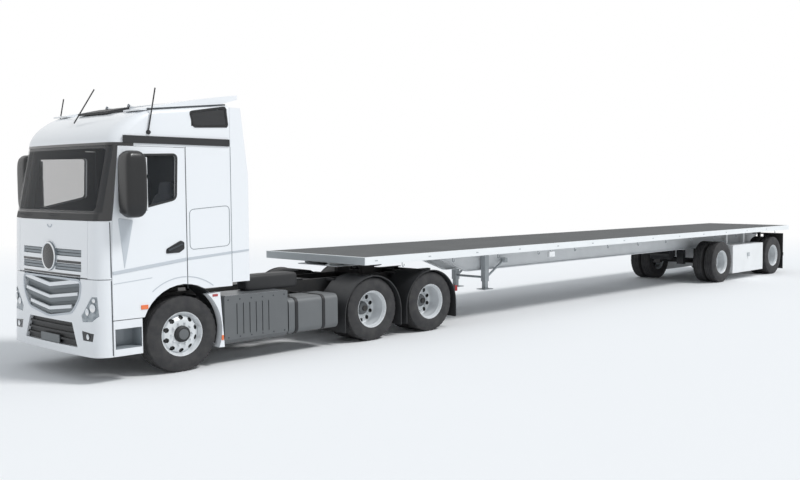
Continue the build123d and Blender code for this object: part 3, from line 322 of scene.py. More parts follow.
def woven_cloth(name, colour, raised):
    """Seat cloth: a plain weave, drawn at 4 mm so that it shows, with a soft sheen at its edges."""
    tree, place = new_material(name)
    threads = {"Vector": place, "Scale": 1 / (4 * MM)}
    warp, weft = (
        add_node(tree, "ShaderNodeTexWave", threads, bands_direction=way).outputs[1] for way in ("Y", "Z")
    )
    weave = add_node(tree, "ShaderNodeMath", [warp, weft], operation="MULTIPLY")
    shade = {SHARE: weave, FIRST: colour, SECOND: raised}
    looks = {
        "Base Color": add_node(tree, "ShaderNodeMix", shade, data_type="RGBA"),
        "Roughness": 0.9,
        "Sheen Weight": 0.3,
        "Normal": add_node(tree, "ShaderNodeBump", {"Height": weave, "Strength": 0.4, "Distance": 1 * MM}),
    }
    shader = add_node(tree, "ShaderNodeBsdfPrincipled", looks)
    add_node(tree, "ShaderNodeOutputMaterial", [shader])


def sealed_floor(name, colour, cloud):
    """A pale sealed floor: matt, faintly cloudy, and lost in white light some way off."""
    tree, place = new_material(name)
    clouds = add_node(tree, "ShaderNodeTexNoise", {"Vector": place, "Scale": 1 / (3000 * MM), "Detail": 4.0})
    clouds = add_node(tree, "ShaderNodeMapRange", [clouds, *GRAIN_RANGE, 0, 0.04])
    shade = add_node(tree, "ShaderNodeMix", {SHARE: clouds, FIRST: colour, SECOND: cloud}, data_type="RGBA")
    shader = add_node(tree, "ShaderNodeBsdfPrincipled", {"Base Color": shade, "Roughness": 0.9})
    far = add_node(tree, "ShaderNodeVectorMath", [place], operation="LENGTH").outputs["Value"]
    fade = add_node(tree, "ShaderNodeMapRange", [far, *FLOOR_FADE, 0, 1])
    white = add_node(tree, "ShaderNodeEmission", {"Color": (1, 1, 1, 1), "Strength": 1.0})
    surface = add_node(tree, "ShaderNodeMixShader", [fade, shader, white])
    add_node(tree, "ShaderNodeOutputMaterial", [surface])


def make_materials(colours):
    """All finishes of the lorry; a comment says what each real one gives the eye."""
    paint, beam, deck = (tuple(colour) for colour in (colours.paint, colours.beam, colours.deck))
    black = linear("#1b1c1e")
    # Sprayed enamels: bright and glossy on the cab, and in places of their own another colour; the step well's
    # grey and the grey white of the creases are painted shade
    gloss_paint("gloss_white_enamel", paint)
    cab_paint("cab_white_enamel", paint, black)
    gloss_paint("roof_white_enamel", paint, [(pane, black) for pane in ROOF_PANES])
    gloss_paint("door_white_enamel", paint, [(DOOR_INSIDE, linear("#33353a"))])
    # The step well is grey: painted shade in its recess
    gloss_paint("skirt_white_enamel", paint, [(STEP_WELL_SHADE, linear("#9aa1a6"))])
    # A grey white of painted shade: the shaded sides of creases, the facet below the mirror and the grille's
    # surround
    wear_and_glint_patches("painted_shade_white_enamel", linear("#c4cad0"), linear("#bac1c7"), 0.45)
    # Plain enamels: flatter, clouded by road dust, and black under the trailer's beams
    wear_and_glint_patches("chassis_black_enamel", linear("#202123"), linear("#4a4640"), 0.6, share=0.4)
    under = [(UNDER_BEAM, linear("#202123"))]
    wear_and_glint_patches("trailer_grey_enamel", beam, linear("#d3d7d9"), 0.45, share=0.35, zones=under)
    wear_and_glint_patches("toolbox_white_enamel", linear("#eceeef"), linear("#d5d7d7"), 0.4, share=0.3)
    wear_and_glint_patches("wheel_silver_enamel", linear("#dfe2e4"), linear("#c4c7c9"), 0.36, metallic=0.2, share=0.3)
    # Moulded plastics: a soft, even sheen, scuffed paler in patches
    strips = [(FENDER_STRIP, paint)]
    wear_and_glint_patches("guard_black_plastic", linear("#2f3032"), linear("#464748"), 0.55, zones=strips)
    wear_and_glint_patches("moulded_black_plastic", linear("#222325"), linear("#3a3b3c"), 0.55)
    # Gloss black trim; its black also fills the wheels' hand holes as painted shade
    wear_and_glint_patches("black_trim_and_painted_shade", linear("#141517"), linear("#26282a"), 0.28)
    wear_and_glint_patches("grille_grey_plastic", linear("#868d92"), linear("#9aa1a5"), 0.45)
    dark_intake = [(INTAKE, linear("#1c1d1f"))]
    wear_and_glint_patches("front_grille_plastic", linear("#6f767a"), linear("#858c90"), 0.5, zones=dark_intake)
    wear_and_glint_patches("cab_trim_grey", linear("#54575e"), linear("#63666c"), 0.7)
    # Rubber: dull carbon black with a grey bloom and dust in the tread; seals and sealer are matt and plain,
    # and the seals' rubber also draws a painted shadow under the spoiler
    wear_and_glint_patches("tyre_rubber", linear("#313133"), linear("#4e4d4b"), 0.82, patch=120, grain=3, depth=0.6, share=0.5)
    wear_and_glint_patches("seal_rubber_and_painted_shadow", linear("#3a3e42"), linear("#4a4e52"), 0.7)
    wear_and_glint_patches("seam_sealer_grey", linear("#7f868b"), linear("#8f969b"), 0.6)
    # Bare and coated metals: satin where they are extruded or brushed, sharp reflections where they are plated
    wear_and_glint_patches("greased_castings", linear("#1d1d1e"), linear("#3b3630"), 0.5, metallic=0.3)
    wear_and_glint_patches("satin_grey_steel", linear("#616466"), linear("#727576"), 0.5, share=0.3)
    straps = [(strap, linear("#232426")) for strap in TANK_STRAPS]
    wear_and_glint_patches("satin_aluminium", linear("#676a6c"), linear("#777a7b"), 0.42, metallic=0.2, share=0.3, zones=straps)
    wear_and_glint_patches("pale_rail_extrusion", linear("#f0f3f4"), linear("#dfe3e5"), 0.4, share=0.3)
    wear_and_glint_patches("header_grey_extrusion", linear("#b6bcbf"), linear("#c2c7ca"), 0.45, share=0.3)
    wear_and_glint_patches("blank_plate", linear("#6f7375"), linear("#7c8082"), 0.5)
    wear_and_glint_patches("bright_chrome", linear("#d9dcdf"), linear("#c4c8cb"), 0.12, metallic=1.0, share=0.2)
    wear_and_glint_patches("silvered_mirror", linear("#dfe3e6"), linear("#d2d6d9"), 0.04, metallic=1.0, share=0.1)
    tread_plate("chequer_plate", linear("#5f6265"), linear("#8b8f92"))
    tread_plate("black_chequer_plate", linear("#1d1e20"), linear("#333537"))
    # Sealed hardwood boards: flat and dark, trodden grey
    wear_and_glint_patches("sealed_deck_boards", deck, linear("#5d5f5f"), 0.8, patch=500, share=0.4)
    # Seat cloth, window glass and lamp lenses: matt, clear and bright; the lamps' grey lens is painted
    # reflections
    woven_cloth("seat_cloth", linear("#62656c"), linear("#8a8d93"))
    tinted_glass("tinted_glass", linear("#2a3036"))
    lamps = [(FOG_RECESS, black), (TAIL_LAMPS, linear("#a3161b"))]
    # Grey with pale 50 mm patches mixed in up to six tenths: painted glints and reflections on the lamps' glass
    wear_and_glint_patches("lamp_lens_painted_glints", linear("#7f888e"), linear("#cfd5d9"), 0.12, share=0.6, patch=50, zones=lamps)
    ribbed_lens("orange_lens", linear("#ec6a06"))
    ribbed_lens("red_lens", linear("#a50e13"))
    sealed_floor("pale_floor", tuple(colours.floor), linear("#e9ebee"))


# Shapes: each is an array of corners and an array of four-cornered faces
SHARP_ANGLE = radians(35)
STRIP_SINK = 0.2  # share of a strip's height that lies under the surface
STRIP_TOP = 0.85  # width of a strip's top over its foot
PAD_CROWN = 0.10  # rise of a pad's middle over its half height
PAD_CHANNELS = 9  # radians over a pad's half length; a sewn channel lies where their cosine is near one
PAD_CHANNEL_DEPTH = 0.05


def quads(rows, cols, ring=False, loop=False):
    """Faces of a grid; ring joins the last row to the first, loop the last column to the first."""
    i, j = np.meshgrid(np.arange(rows - (not ring)), np.arange(cols - (not loop)), indexing="ij")
    up, over = (i + 1) % rows, (j + 1) % cols
    return np.stack([i * cols + j, up * cols + j, up * cols + over, i * cols + over], -1).reshape(-1, 4)


def gather(shapes):
    """Several shapes as one, with the number of the shape that each face came from."""
    starts = np.cumsum([0] + [len(v) for v, _ in shapes[:-1]])
    verts = np.concatenate([v for v, _ in shapes])
    faces = np.concatenate([f + s for (_, f), s in zip(shapes, starts)])
    owner = np.concatenate([np.full(len(f), i) for i, (_, f) in enumerate(shapes)])
    return verts, faces, owner


def piece(name, body, parts):
    """A mesh object that rides on a body, made of pairs of a finish and a shape."""
    verts, faces, owner = gather([shape for _, shape in parts])
    mesh = bpy.data.meshes.new(name)
    mesh.from_pydata(verts.tolist(), [], faces.tolist())
    finishes = list(dict.fromkeys(finish for finish, _ in parts))
    for finish in finishes:
        mesh.materials.append(MATERIALS[finish])
    index = np.array([finishes.index(finish) for finish, _ in parts])[owner]
    mesh.polygons.foreach_set("material_index", index.astype(np.int32))
    work = bmesh.new()
    work.from_mesh(mesh)
    bmesh.ops.remove_doubles(work, verts=work.verts, dist=1e-6)
    bmesh.ops.dissolve_degenerate(work, edges=work.edges, dist=1e-7)
    bmesh.ops.recalc_face_normals(work, faces=work.faces)
    work.to_mesh(mesh)
    work.free()
    mesh.polygons.foreach_set("use_smooth", np.full(len(mesh.polygons), True))
    mesh.set_sharp_from_angle(angle=SHARP_ANGLE)
    made = bpy.data.objects.new(name, mesh)
    bpy.context.scene.collection.objects.link(made)
    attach(made, body)
    return made


def frame_at(direction):
    """Two unit directions square to a direction, and its own."""
    axis = np.asarray(direction, float) / np.linalg.norm(direction)
    helper = np.array([0, 0, 1.0]) if abs(axis[2]) < 0.9 else np.array([1.0, 0, 0])
    first = np.cross(helper, axis)
    first /= np.linalg.norm(first)
    return first, np.cross(axis, first), axis


def turned(profile, centre, direction, segments, start=0.0):
    """A profile of (distance along the axis, radius) turned once round an axis through a centre."""
    first, second, axis = frame_at(direction)
    profile = np.asarray(profile, float)
    angle = start + np.linspace(0, 2 * pi, segments, endpoint=False)
    ring = np.cos(angle)[:, None] * first + np.sin(angle)[:, None] * second
    verts = (
        np.asarray(centre, float)
        + profile[None, :, :1] * axis
        + profile[None, :, 1:] * ring[:, None, :]
    )
    return verts.reshape(-1, 3), quads(segments, len(profile), ring=True)


def rod(start, end, radius, segments=12):
    """A round bar with closed, slightly rounded ends."""
    start, end = np.asarray(start, float), np.asarray(end, float)
    length = np.linalg.norm(end - start)
    edge = min(radius, length / 2) * 0.3
    near = [(0, 0), (0, radius - edge), (edge, radius)]
    far = [(length - edge, radius), (length, radius - edge), (length, 0)]
    return turned(near + far, start, end - start, segments)


def tube(points, radius, segments=8):
    """A round section carried along a path, its ends closed by a point."""
    path = np.asarray(points, float)
    tangent = np.gradient(path, axis=0)
    tangent /= np.linalg.norm(tangent, axis=1)[:, None]
    helper = np.array([0.31, 0.17, 0.94])  # a direction that no path here runs along
    first = np.cross(helper, tangent)
    first /= np.linalg.norm(first, axis=1)[:, None]
    second = np.cross(tangent, first)
    angle = np.linspace(0, 2 * pi, segments, endpoint=False)
    rings = first[:, None, :] * np.cos(angle)[:, None] + second[:, None, :] * np.sin(angle)[:, None]
    verts = path[:, None, :] + radius * rings
    ends = np.repeat(path[[0, -1]][:, None, :], segments, axis=1)
    verts = np.concatenate([ends[:1], verts, ends[1:]])
    return verts.reshape(-1, 3), quads(len(path) + 2, segments, loop=True)


def slab(low, high, edge):
    """A box between two corners: an outline with cut corners, drawn in by the edge at its foot and its top."""
    low, high = np.minimum(low, high), np.maximum(low, high)
    half = (high - low) / 2
    edge = min(edge, 0.45 * half.min())
    sign = np.array([(1, 1), (1, 1), (-1, 1), (-1, 1), (-1, -1), (-1, -1), (1, -1), (1, -1)])
    cut = edge * np.array([(0, 1), (1, 0), (1, 0), (0, 1), (0, 1), (1, 0), (1, 0), (0, 1)])
    inset = edge * np.array([1, 0, 0, 1])[:, None, None]
    # The first and last levels are points that close the box
    flat = np.pad(sign * (half[:2] - cut - inset), ((1, 1), (0, 0), (0, 0)))
    z = half[2] * np.array([-1, -1, -1, 1, 1, 1]) + edge * np.array([0, 0, 1, -1, 0, 0])
    verts = np.dstack([flat, np.repeat(z[:, None], len(sign), axis=1)])
    return verts.reshape(-1, 3) + (low + high) / 2, quads(len(z), len(sign), loop=True)


def strip(points, out, width, thick, closed=False):
    """A flat strip along a path, its width square to the path and to the outward way, its top drawn in."""
    path = np.asarray(points, float)
    out = np.broadcast_to(np.asarray(out, float), path.shape)
    tangent = np.roll(path, -1, axis=0) - np.roll(path, 1, axis=0) if closed else np.gradient(path, axis=0)
    across = np.cross(out, tangent)
    across *= width / 2 / np.linalg.norm(across, axis=1)[:, None]
    low, high = path - STRIP_SINK * thick * out, path + thick * out
    top = STRIP_TOP * across
    ring = np.stack([low - across, high - top, high + top, low + across], axis=1)
    if closed:
        return ring.reshape(-1, 3), quads(len(path), 4, ring=True, loop=True)
    ends = np.repeat(ring[[0, -1]].mean(axis=1)[:, None], 4, axis=1)
    verts = np.concatenate([ends[:1], ring, ends[1:]])
    return verts.reshape(-1, 3), quads(len(path) + 2, 4, loop=True)


def rounded(corners, radius, steps=6):
    """A closed outline with rounded corners: each corner is a quadratic curve from before it to after it."""
    corner = np.asarray(corners, float)
    back, ahead = np.roll(corner, 1, axis=0) - corner, np.roll(corner, -1, axis=0) - corner
    first = corner + back * (radius / np.linalg.norm(back, axis=1))[:, None]
    last = corner + ahead * (radius / np.linalg.norm(ahead, axis=1))[:, None]
    t = np.linspace(0, 1, steps)[None, :, None]
    curve = (1 - t) ** 2 * first[:, None] + 2 * t * (1 - t) * corner[:, None] + t**2 * last[:, None]
    return curve.reshape(-1, 2)


def cushion(centre, half, lean=0.0, power=0.42, rows=32, cols=64):
    """A padded block: a superellipsoid, whose sines and cosines are raised to a power, leaning about Y.

    Its top is crowned, and sewn channels run across it where a cosine of its length is near one.
    """
    round_angle = np.linspace(0, 2 * pi, cols, endpoint=False)
    u, v = np.meshgrid(np.linspace(-pi / 2, pi / 2, rows), round_angle, indexing="ij")
    waves = np.stack([np.cos(u), np.cos(v), np.sin(v), np.sin(u)])
    out, along, across, z = np.sign(waves) * np.abs(waves) ** power
    x, y = out * along, out * across
    crown = PAD_CROWN * (1 - x**2) * (1 - y**2)
    channels = PAD_CHANNEL_DEPTH * np.clip(np.cos(PAD_CHANNELS * x) - 0.8, 0, None)
    z = z * (1 + crown) - channels * z
    x, y, z = x * half[0], y * half[1], z * half[2]
    turned_x, turned_z = x * cos(lean) - z * sin(lean), x * sin(lean) + z * cos(lean)
    return np.stack([turned_x, y, turned_z], -1).reshape(-1, 3) + centre, quads(rows, cols, loop=True)


def front_x(y, z):
    """How far forward the cab's front is: less by its leans, a square of the width and the corners' circle."""
    y, z = np.abs(np.asarray(y, float)), np.asarray(z, float)
    low = np.minimum(z, SCREEN_LOW) - BUMPER_LOW
    high = np.clip(z - SCREEN_LOW, 0, ROOF_LOW - SCREEN_LOW)
    bow = FRONT_BOW * (np.minimum(y, BOW_END) / CAB_HALF) ** 2
    round_off = np.clip(y - BOW_END, 0, CORNER_R)
    corner = CORNER_R - np.sqrt(CORNER_R**2 - round_off**2)
    return NOSE_X - FRONT_LEANS[0] * low - FRONT_LEANS[1] * high - bow - corner


def on_front(y, z, lift=0.0):
    """Points on the cab's front, or a little before it."""
    y, z = np.broadcast_arrays(np.asarray(y, float), np.asarray(z, float))
    return np.stack([front_x(y, z) + lift, y, z], -1)


def on_side(points, s, lift=0.0):
    """Points on a side of the cab, from x past the front axle and height; it turns in at the front corner."""
    points = np.asarray(points, float)
    x = AXLE_X + points[:, 0]
    round_off = np.clip(x - (front_x(BOW_END, points[:, 1]) - CORNER_R), 0, CORNER_R)
    y = BOW_END + np.sqrt(CORNER_R**2 - round_off**2) + lift
    return np.stack([x, s * y, points[:, 1]], -1)


def line(start, end, count=12):
    """Evenly spaced points from one to another."""
    return np.linspace(start, end, count)


def arc_points(x, z, radius, start, end, count=40):
    """Points of an arc in x and z, its angles in degrees."""
    angle = np.radians(np.linspace(start, end, count))
    return np.stack([x + radius * np.cos(angle), z + radius * np.sin(angle)], -1)


def many(shape, places):
    """Copies of a shape moved to several places."""
    verts, faces = shape
    places = np.asarray(places, float)
    out = (places[:, None, :] + verts[None]).reshape(-1, 3)
    steps = np.arange(len(places))[:, None, None] * len(verts)
    return out, (faces[None] + steps).reshape(-1, 4)


def soft_corners():
    """A node group that joins loose triangles and shades a solid smooth where they meet at under 30 degrees."""
    group = bpy.data.node_groups.new("soft_corners", "GeometryNodeTree")
    for way in ("INPUT", "OUTPUT"):
        group.interface.new_socket("Geometry", in_out=way, socket_type="NodeSocketGeometry")
    mesh = add_node(group, "NodeGroupInput")
    mesh = add_node(group, "GeometryNodeMergeByDistance", {"Geometry": mesh, "Distance": 1e-5})
    mesh = add_node(group, "GeometryNodeRemoveAttribute", {"Geometry": mesh, "Name": "custom_normal"})
    angle = add_node(group, "GeometryNodeInputMeshEdgeAngle").outputs[0]
    sharp = add_node(group, "FunctionNodeCompare", [angle, radians(30)], operation="GREATER_THAN")
    smooth = {"Geometry": mesh, "Shade Smooth": True}
    mesh = add_node(group, "GeometryNodeSetShadeSmooth", smooth, domain="FACE")
    flat = {"Geometry": mesh, "Selection": sharp, "Shade Smooth": False}
    mesh = add_node(group, "GeometryNodeSetShadeSmooth", flat, domain="EDGE")
    add_node(group, "NodeGroupOutput", [mesh])
    return group


NODE_FINISHES = {  # finish, and the CAD nodes that have it
    "skirt_white_enamel": "side_panels",
    "guard_black_plastic": "mudguards",
    "gloss_white_enamel": "front_bumper cab_roof cab_fairings front_flap",
    "door_white_enamel": "door_left door_right",
    "cab_white_enamel": "cab_shell",
    "moulded_black_plastic": "cab_fittings door_fittings_left door_fittings_right",
    "front_grille_plastic": "front_grilles",
    "grille_grey_plastic": "flap_grille",
    "lamp_lens_painted_glints": "lamps",
    "tinted_glass": "cab_glass door_glass_left door_glass_right",
    "cab_trim_grey": "cab_interior cab_seats",
    "chassis_black_enamel": "chassis_frame axles suspension knuckle_left knuckle_right track_rod"
    " trailer_axles rear_guard",
    "greased_castings": "powertrain fifth_wheel",
    "satin_grey_steel": "side_boxes",
    "satin_aluminium": "fuel_tanks",
    "trailer_grey_enamel": "trailer_frame",
    "header_grey_extrusion": "landing_gear",
    "sealed_deck_boards": "trailer_deck",
    "pale_rail_extrusion": "deck_rails",
    "toolbox_white_enamel": "toolboxes toolbox_door_left toolbox_door_right",
}


class LORRY_OT_finishes(bpy.types.Operator):
    """Give every solid of the frame its real finish"""

    bl_idname = "lorry.finishes"
    bl_label = "Finishes"

    def execute(self, context):
        make_materials(context.scene.lorry_colours)
        for finish, nodes in NODE_FINISHES.items():
            for name in nodes.split():
                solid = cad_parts[name]
                if not solid.material_slots:
                    solid.data.materials.append(None)
                for place in solid.material_slots:
                    place.link = "OBJECT"
                    place.material = MATERIALS[finish]
        group = soft_corners()
        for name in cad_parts:
            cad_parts[name].modifiers.new("soft_corners", "NODES").node_group = group
        return {"FINISHED"}


WHEELS = (  # part of the nodes' names, and how far apart the middles of twin tyres are
    ("front", 0.0),
    ("drive_1", 0.340),
    ("drive_2", 0.340),
    ("trailer_1", 0.325),
    ("trailer_2", 0.325),
)
BEAD_R = 0.286
BEAD_SHARE, TREAD_SHARE, BULGE_SHARE = 0.80, 0.85, 0.17  # of the tyre's half width
SHOULDER_HIGH = 0.016
SHOULDER_WIDE = 0.014
GROOVES = (0.52, 0.18)  # places as shares of the half width
GROOVE_SLOPE = 0.002
NOTCH_SHARE = 0.7  # of the grooves' depth
NOTCH_FROM = 0.6  # share of the half width past which the tread is notched
NOTCH_EVERY = 4
LINER_SHARE = 0.55  # the tyre's inside: share of the half width, and height above the bead
LINER_RISE = 0.03


def wheel_places():
    """Each wheel in turn: name and side, the plural of twins, sign, twins' distance, x, radius and tyres.

    The radius is half the height of the tyre's box, and the tyres are given by their width and the y of their
    middles, the outer one first.
    """
    for name, twin in WHEELS:
        for side, s in SIDES:
            plural = "s" if twin else ""
            low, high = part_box(f"tyre{plural}_{name}_{side}")
            width = high.y - low.y - twin
            outer = s * (max(abs(low.y), abs(high.y)) - width / 2)
            middles = [outer, outer - s * twin] if twin else [outer]
            yield f"{name}_{side}", plural, s, twin, (low.x + high.x) / 2, (high.z - low.z) / 2, width, middles


def tyre_shape(centre, radius, width, depth, groove, segments=144):
    """A tyre: sidewalls bulging as a half sine, a rounded shoulder, and a flat tread with grooves round it.

    The shoulders are cut by cross notches: the radius drops at every fourth step round the tyre.
    """
    half = width / 2
    u = np.linspace(0, 1, 12)
    shoulder = radius - SHOULDER_HIGH
    side_r = BEAD_R + (shoulder - BEAD_R) * u
    side_y = half * (BEAD_SHARE + (TREAD_SHARE - BEAD_SHARE) * u + BULGE_SHARE * np.sin(pi * u**0.9))
    turn = np.linspace(0, pi / 2, 4)[1:]
    edge_y = half * TREAD_SHARE - SHOULDER_WIDE * (1 - np.cos(turn))
    edge_r = shoulder + SHOULDER_HIGH * np.sin(turn)
    tread = []
    for place in half * np.array(GROOVES):
        tread += [
            (place + groove / 2 + GROOVE_SLOPE, radius),
            (place + groove / 2, radius - depth),
            (place - groove / 2, radius - depth),
            (place - groove / 2 - GROOVE_SLOPE, radius),
        ]
    outer = np.concatenate([np.stack([side_y, side_r], -1), np.stack([edge_y, edge_r], -1), tread])
    inner = outer[::-1] * (-1, 1)
    liner = np.array([(way * LINER_SHARE * half, BEAD_R + LINER_RISE) for way in (-1, 1)])
    profile = np.concatenate([outer, inner, liner])
    angle = np.linspace(0, 2 * pi, segments, endpoint=False)
    notch = (np.arange(segments) % NOTCH_EVERY == 0).astype(float)
    rows = np.repeat(profile[None], segments, axis=0)
    on_shoulder = (np.abs(profile[:, 0]) > NOTCH_FROM * half) & (profile[:, 1] > radius - 0.02)
    rows[:, :, 1] -= notch[:, None] * on_shoulder * depth * NOTCH_SHARE
    x, z = (centre[k] + rows[:, :, 1] * way(angle)[:, None] for k, way in ((0, np.sin), (2, np.cos)))
    verts = np.stack([x, centre[1] + rows[:, :, 0], z], -1)
    return verts.reshape(-1, 3), quads(segments, len(profile), ring=True, loop=True)


class LORRY_OT_tyres(bpy.types.Operator):
    """Make the tyres with round sidewalls and a road tread"""

    bl_idname = "lorry.tyres"
    bl_label = "Tyres"

    def execute(self, context):
        sizes = context.scene.lorry_sizes
        for wheel, plural, _, _, x, radius, width, middles in wheel_places():
            parts = []
            for y in middles:
                tyre = tyre_shape((x, y, radius), radius, width, sizes.tread_depth, sizes.groove_width)
                parts.append(("tyre_rubber", tyre))
            made = piece(f"tread_{wheel}", f"wheel{plural}_{wheel}", parts)
            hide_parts(f"tyre{plural}_{wheel}")
        return {"FINISHED"}


FRONT_ROWS = 40
HOLES = 10
HOLE_PIT = 0.02
NUTS = 10
NUT_LONG = 0.034
RIM_SHARE = 0.42  # half the rim's width over the tyre's width
# Outlines of a rim: distance outwards and radius, BARREL_INNER from its inner edge, the others from its outer
LIP = ((-0.012, 0.291), (-0.004, 0.303), (0, 0.302), (0, 0.292), (-0.012, 0.281))
BARREL_OUTER = ((-0.012, 0.291), (-0.020, 0.284))
BARREL_INNER = ((0.020, 0.284), (0.012, 0.291), (0.004, 0.303), (0, 0.302), (0, 0.290), (0.030, 0.272))
BARREL_BACK = ((-0.050, 0.262), (-0.050, 0.268), (-0.012, 0.281))
# The single wheel's dish and hub, from the tyre's middle, and the round cap on it
SINGLE_DISH = ((0.055, 0.258), (0.088, 0.236), (0.112, 0.190), (0.116, 0.112))
SINGLE_HUB = ((0.116, 0.112), (0.150, 0.106), (0.166, 0.088), (0.170, 0.05), (0.171, 0.0))
SINGLE_CAP = ((0.160, 0.074), (0.174, 0.068), (0.176, 0.0))
SINGLE_HOLES = (0.222, 0.027)  # radius of the holes' circle and of a hole
SINGLE_NUT_FACE = 0.114
SINGLE_NUT_SHARE = 0.88  # of the twins' circle of nuts
# The twin wheel's dish and hub, from the face on which the two discs meet
TWIN_DISH = ((0.040, 0.256), (0.022, 0.248), (0.016, 0.236), (0.016, 0.112))
TWIN_HUB = ((0.016, 0.112), (0.05, 0.108), (0.09, 0.085), (0.10, 0.05), (0.10, 0.0))
TWIN_HOLES = (0.205, 0.031)
TWIN_NUT_FACE = 0.016


def holed_disc(profile, centre, s, hole_circle, hole_r, segments=160):
    """A turned profile with round hand holes: a point that lies inside a hole drops by the pit.

    Returns the bright shape and the dark one, made of the faces inside the holes: painted shade where one would
    see into the wheel.
    """
    angle = np.linspace(0, 2 * pi, segments, endpoint=False)
    a, r = np.meshgrid(angle, profile[:, 1], indexing="ij")
    step = 2 * pi / HOLES
    nearest = np.round(a / step) * step
    dx = r * np.sin(a) - hole_circle * np.sin(nearest)
    dz = r * np.cos(a) - hole_circle * np.cos(nearest)
    inside = np.hypot(dx, dz) < hole_r
    y = profile[:, 0] - inside * HOLE_PIT
    verts = (np.stack([r * np.sin(a), s * y, r * np.cos(a)], -1) + centre).reshape(-1, 3)
    faces = quads(segments, len(profile), ring=True)
    dark = inside.reshape(-1)[faces].any(axis=1)
    return (verts, faces[~dark]), (verts, faces[dark])


def disc_rows(points, rows):
    """A run through profile points, resampled to evenly spaced rows."""
    points = np.asarray(points, float)
    along = np.concatenate([[0], np.cumsum(np.linalg.norm(np.diff(points, axis=0), axis=1))])
    t = np.linspace(0, along[-1], rows)
    return np.stack([np.interp(t, along, points[:, k]) for k in (0, 1)], -1)


def nut_ring(centre, s, circle, width, face):
    """Hexagonal wheel nuts with domed caps on a circle."""
    r, high = width / sqrt(3), NUT_LONG
    profile = [(0, r), (high * 0.6, r), (high * 0.62, r * 0.8), (high, r * 0.62), (high * 1.06, 0)]
    nuts = []
    for k in range(NUTS):
        a = 2 * pi * (k + 0.5) / NUTS
        at = (centre[0] + circle * sin(a), centre[1] + s * face, centre[2] + circle * cos(a))
        nuts.append(turned(profile, at, (0, s, 0), segments=6, start=a))
    return gather(nuts)[:2]


def moved(outline, start):
    """An outline of distances and radii, its distances counted from a start."""
    return [(start + along, radius) for along, radius in outline]


class LORRY_OT_wheels(bpy.types.Operator):
    """Make the wheels: dished discs with hand holes, nuts and hub caps"""

    bl_idname = "lorry.wheels"
    bl_label = "Wheels"

    def execute(self, context):
        sizes = context.scene.lorry_sizes
        for wheel, plural, s, twin, x, radius, width, middles in wheel_places():
            centre, out = (x, middles[0], radius), (0, s, 0)
            half = RIM_SHARE * width
            if twin:
                face = -twin / 2
                dish = [(half - 0.05, 0.268), (0.01, 0.264), (-0.05, 0.262), *moved(TWIN_DISH, face)]
                hub, hub_finish = moved(TWIN_HUB, face), "satin_grey_steel"
                holes, nut_face, nut_circle = TWIN_HOLES, face + TWIN_NUT_FACE, sizes.nut_circle
            else:
                dish = [(half - 0.05, 0.266), *SINGLE_DISH]
                hub, hub_finish = SINGLE_HUB, "moulded_black_plastic"
                holes, nut_face = SINGLE_HOLES, SINGLE_NUT_FACE
                nut_circle = sizes.nut_circle * SINGLE_NUT_SHARE
            front = disc_rows(dish, FRONT_ROWS)
            bright, dark = holed_disc(front, centre, s, *holes)
            parts = [
                ("wheel_silver_enamel", bright),
                # The hand holes' pits are black: painted shade
                ("black_trim_and_painted_shade", dark),
                ("wheel_silver_enamel", turned([*moved(LIP, half), front[0]], centre, out, segments=96)),
                (hub_finish, turned(hub, centre, out, segments=48)),
                ("wheel_silver_enamel", nut_ring(centre, s, nut_circle, sizes.nut_width, nut_face)),
            ]
            if not twin:
                parts.append(("satin_grey_steel", turned(SINGLE_CAP, centre, out, segments=40)))
            barrel = moved(BARREL_OUTER, half) + moved(BARREL_INNER, -half) + moved(BARREL_BACK, half)
            for y, way in zip(middles, (s, -s)):
                parts.append(("wheel_silver_enamel", turned(barrel, (x, y, radius), (0, way, 0), segments=72)))
            made = piece(f"wheel_face_{wheel}", f"wheel{plural}_{wheel}", parts)
            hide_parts(f"rim{plural}_{wheel}")
        return {"FINISHED"}


CHEVRONS = (  # middle's height, width and half length of a white bar
    (1.195, 0.056, 0.765),
    (1.036, 0.046, 0.725),
    (0.884, 0.050, 0.580),
)
CHEVRON_RISE = 0.11  # rise over the distance from the middle
BAR_SINK = 0.012  # the grille's bars lie this far behind the bumper's face
RIM_HALF = ((0.610, 0.868), (0.795, 1.075), (0.815, 1.292))
GRILLE_RIM = (*((-y, z) for y, z in RIM_HALF[::-1]), (0.0, 0.785), *RIM_HALF)
PLATE_FACE_Z = 0.49  # height at which the bumper's face is taken for the plate
PLATE_BACK = (-0.022, -0.26, 0.445)  # x from that face, y and z of two corners
PLATE_FRONT = (-0.006, 0.26, 0.553)
HEAD_LAMPS = ((0.965, 0.905, 0.045), (1.085, 0.960, 0.052), (1.105, 1.055, 0.026))  # y, z, radius
FOG_LAMP = (0.985, 0.594, 0.036)
LAMP_SINK = 0.001
DISC_Z = 1.567
DISC_RISE = 0.014
DISC_DOME = ((-0.001, 0.166), (0.004, 0.160), (0.009, 0.10), (0.011, 0.05), (0.0115, 0.0))
RING_R = 0.176
FLAP_SEAMS = (  # from and to y, number of points, height and width of a dark strip
    (0.205, 0.815, 24, 1.512, 0.034),
    (-0.205, -0.815, 24, 1.512, 0.034),
    (-0.80, 0.80, 48, 1.348, 0.026),
)
PULL_Z = 1.985


def lamp_cup(y, z, radius, s):
    """A lamp's reflector: a rim and a dish turned about the front's own direction there."""
    turn = np.arcsin(np.clip((y - BOW_END) / CORNER_R, 0, 0.95))
    rim = [(-0.002, 0.0), (-0.002, radius), (0.004, radius)]
    dish = [(0.004, radius * 0.88), (0.001, radius * 0.7), (0.0005, 0.0)]
    at = on_front(y, z, -LAMP_SINK).reshape(3) * (1, s, 1)
    return turned(rim + dish, at, (np.cos(turn), s * np.sin(turn), 0), segments=28)


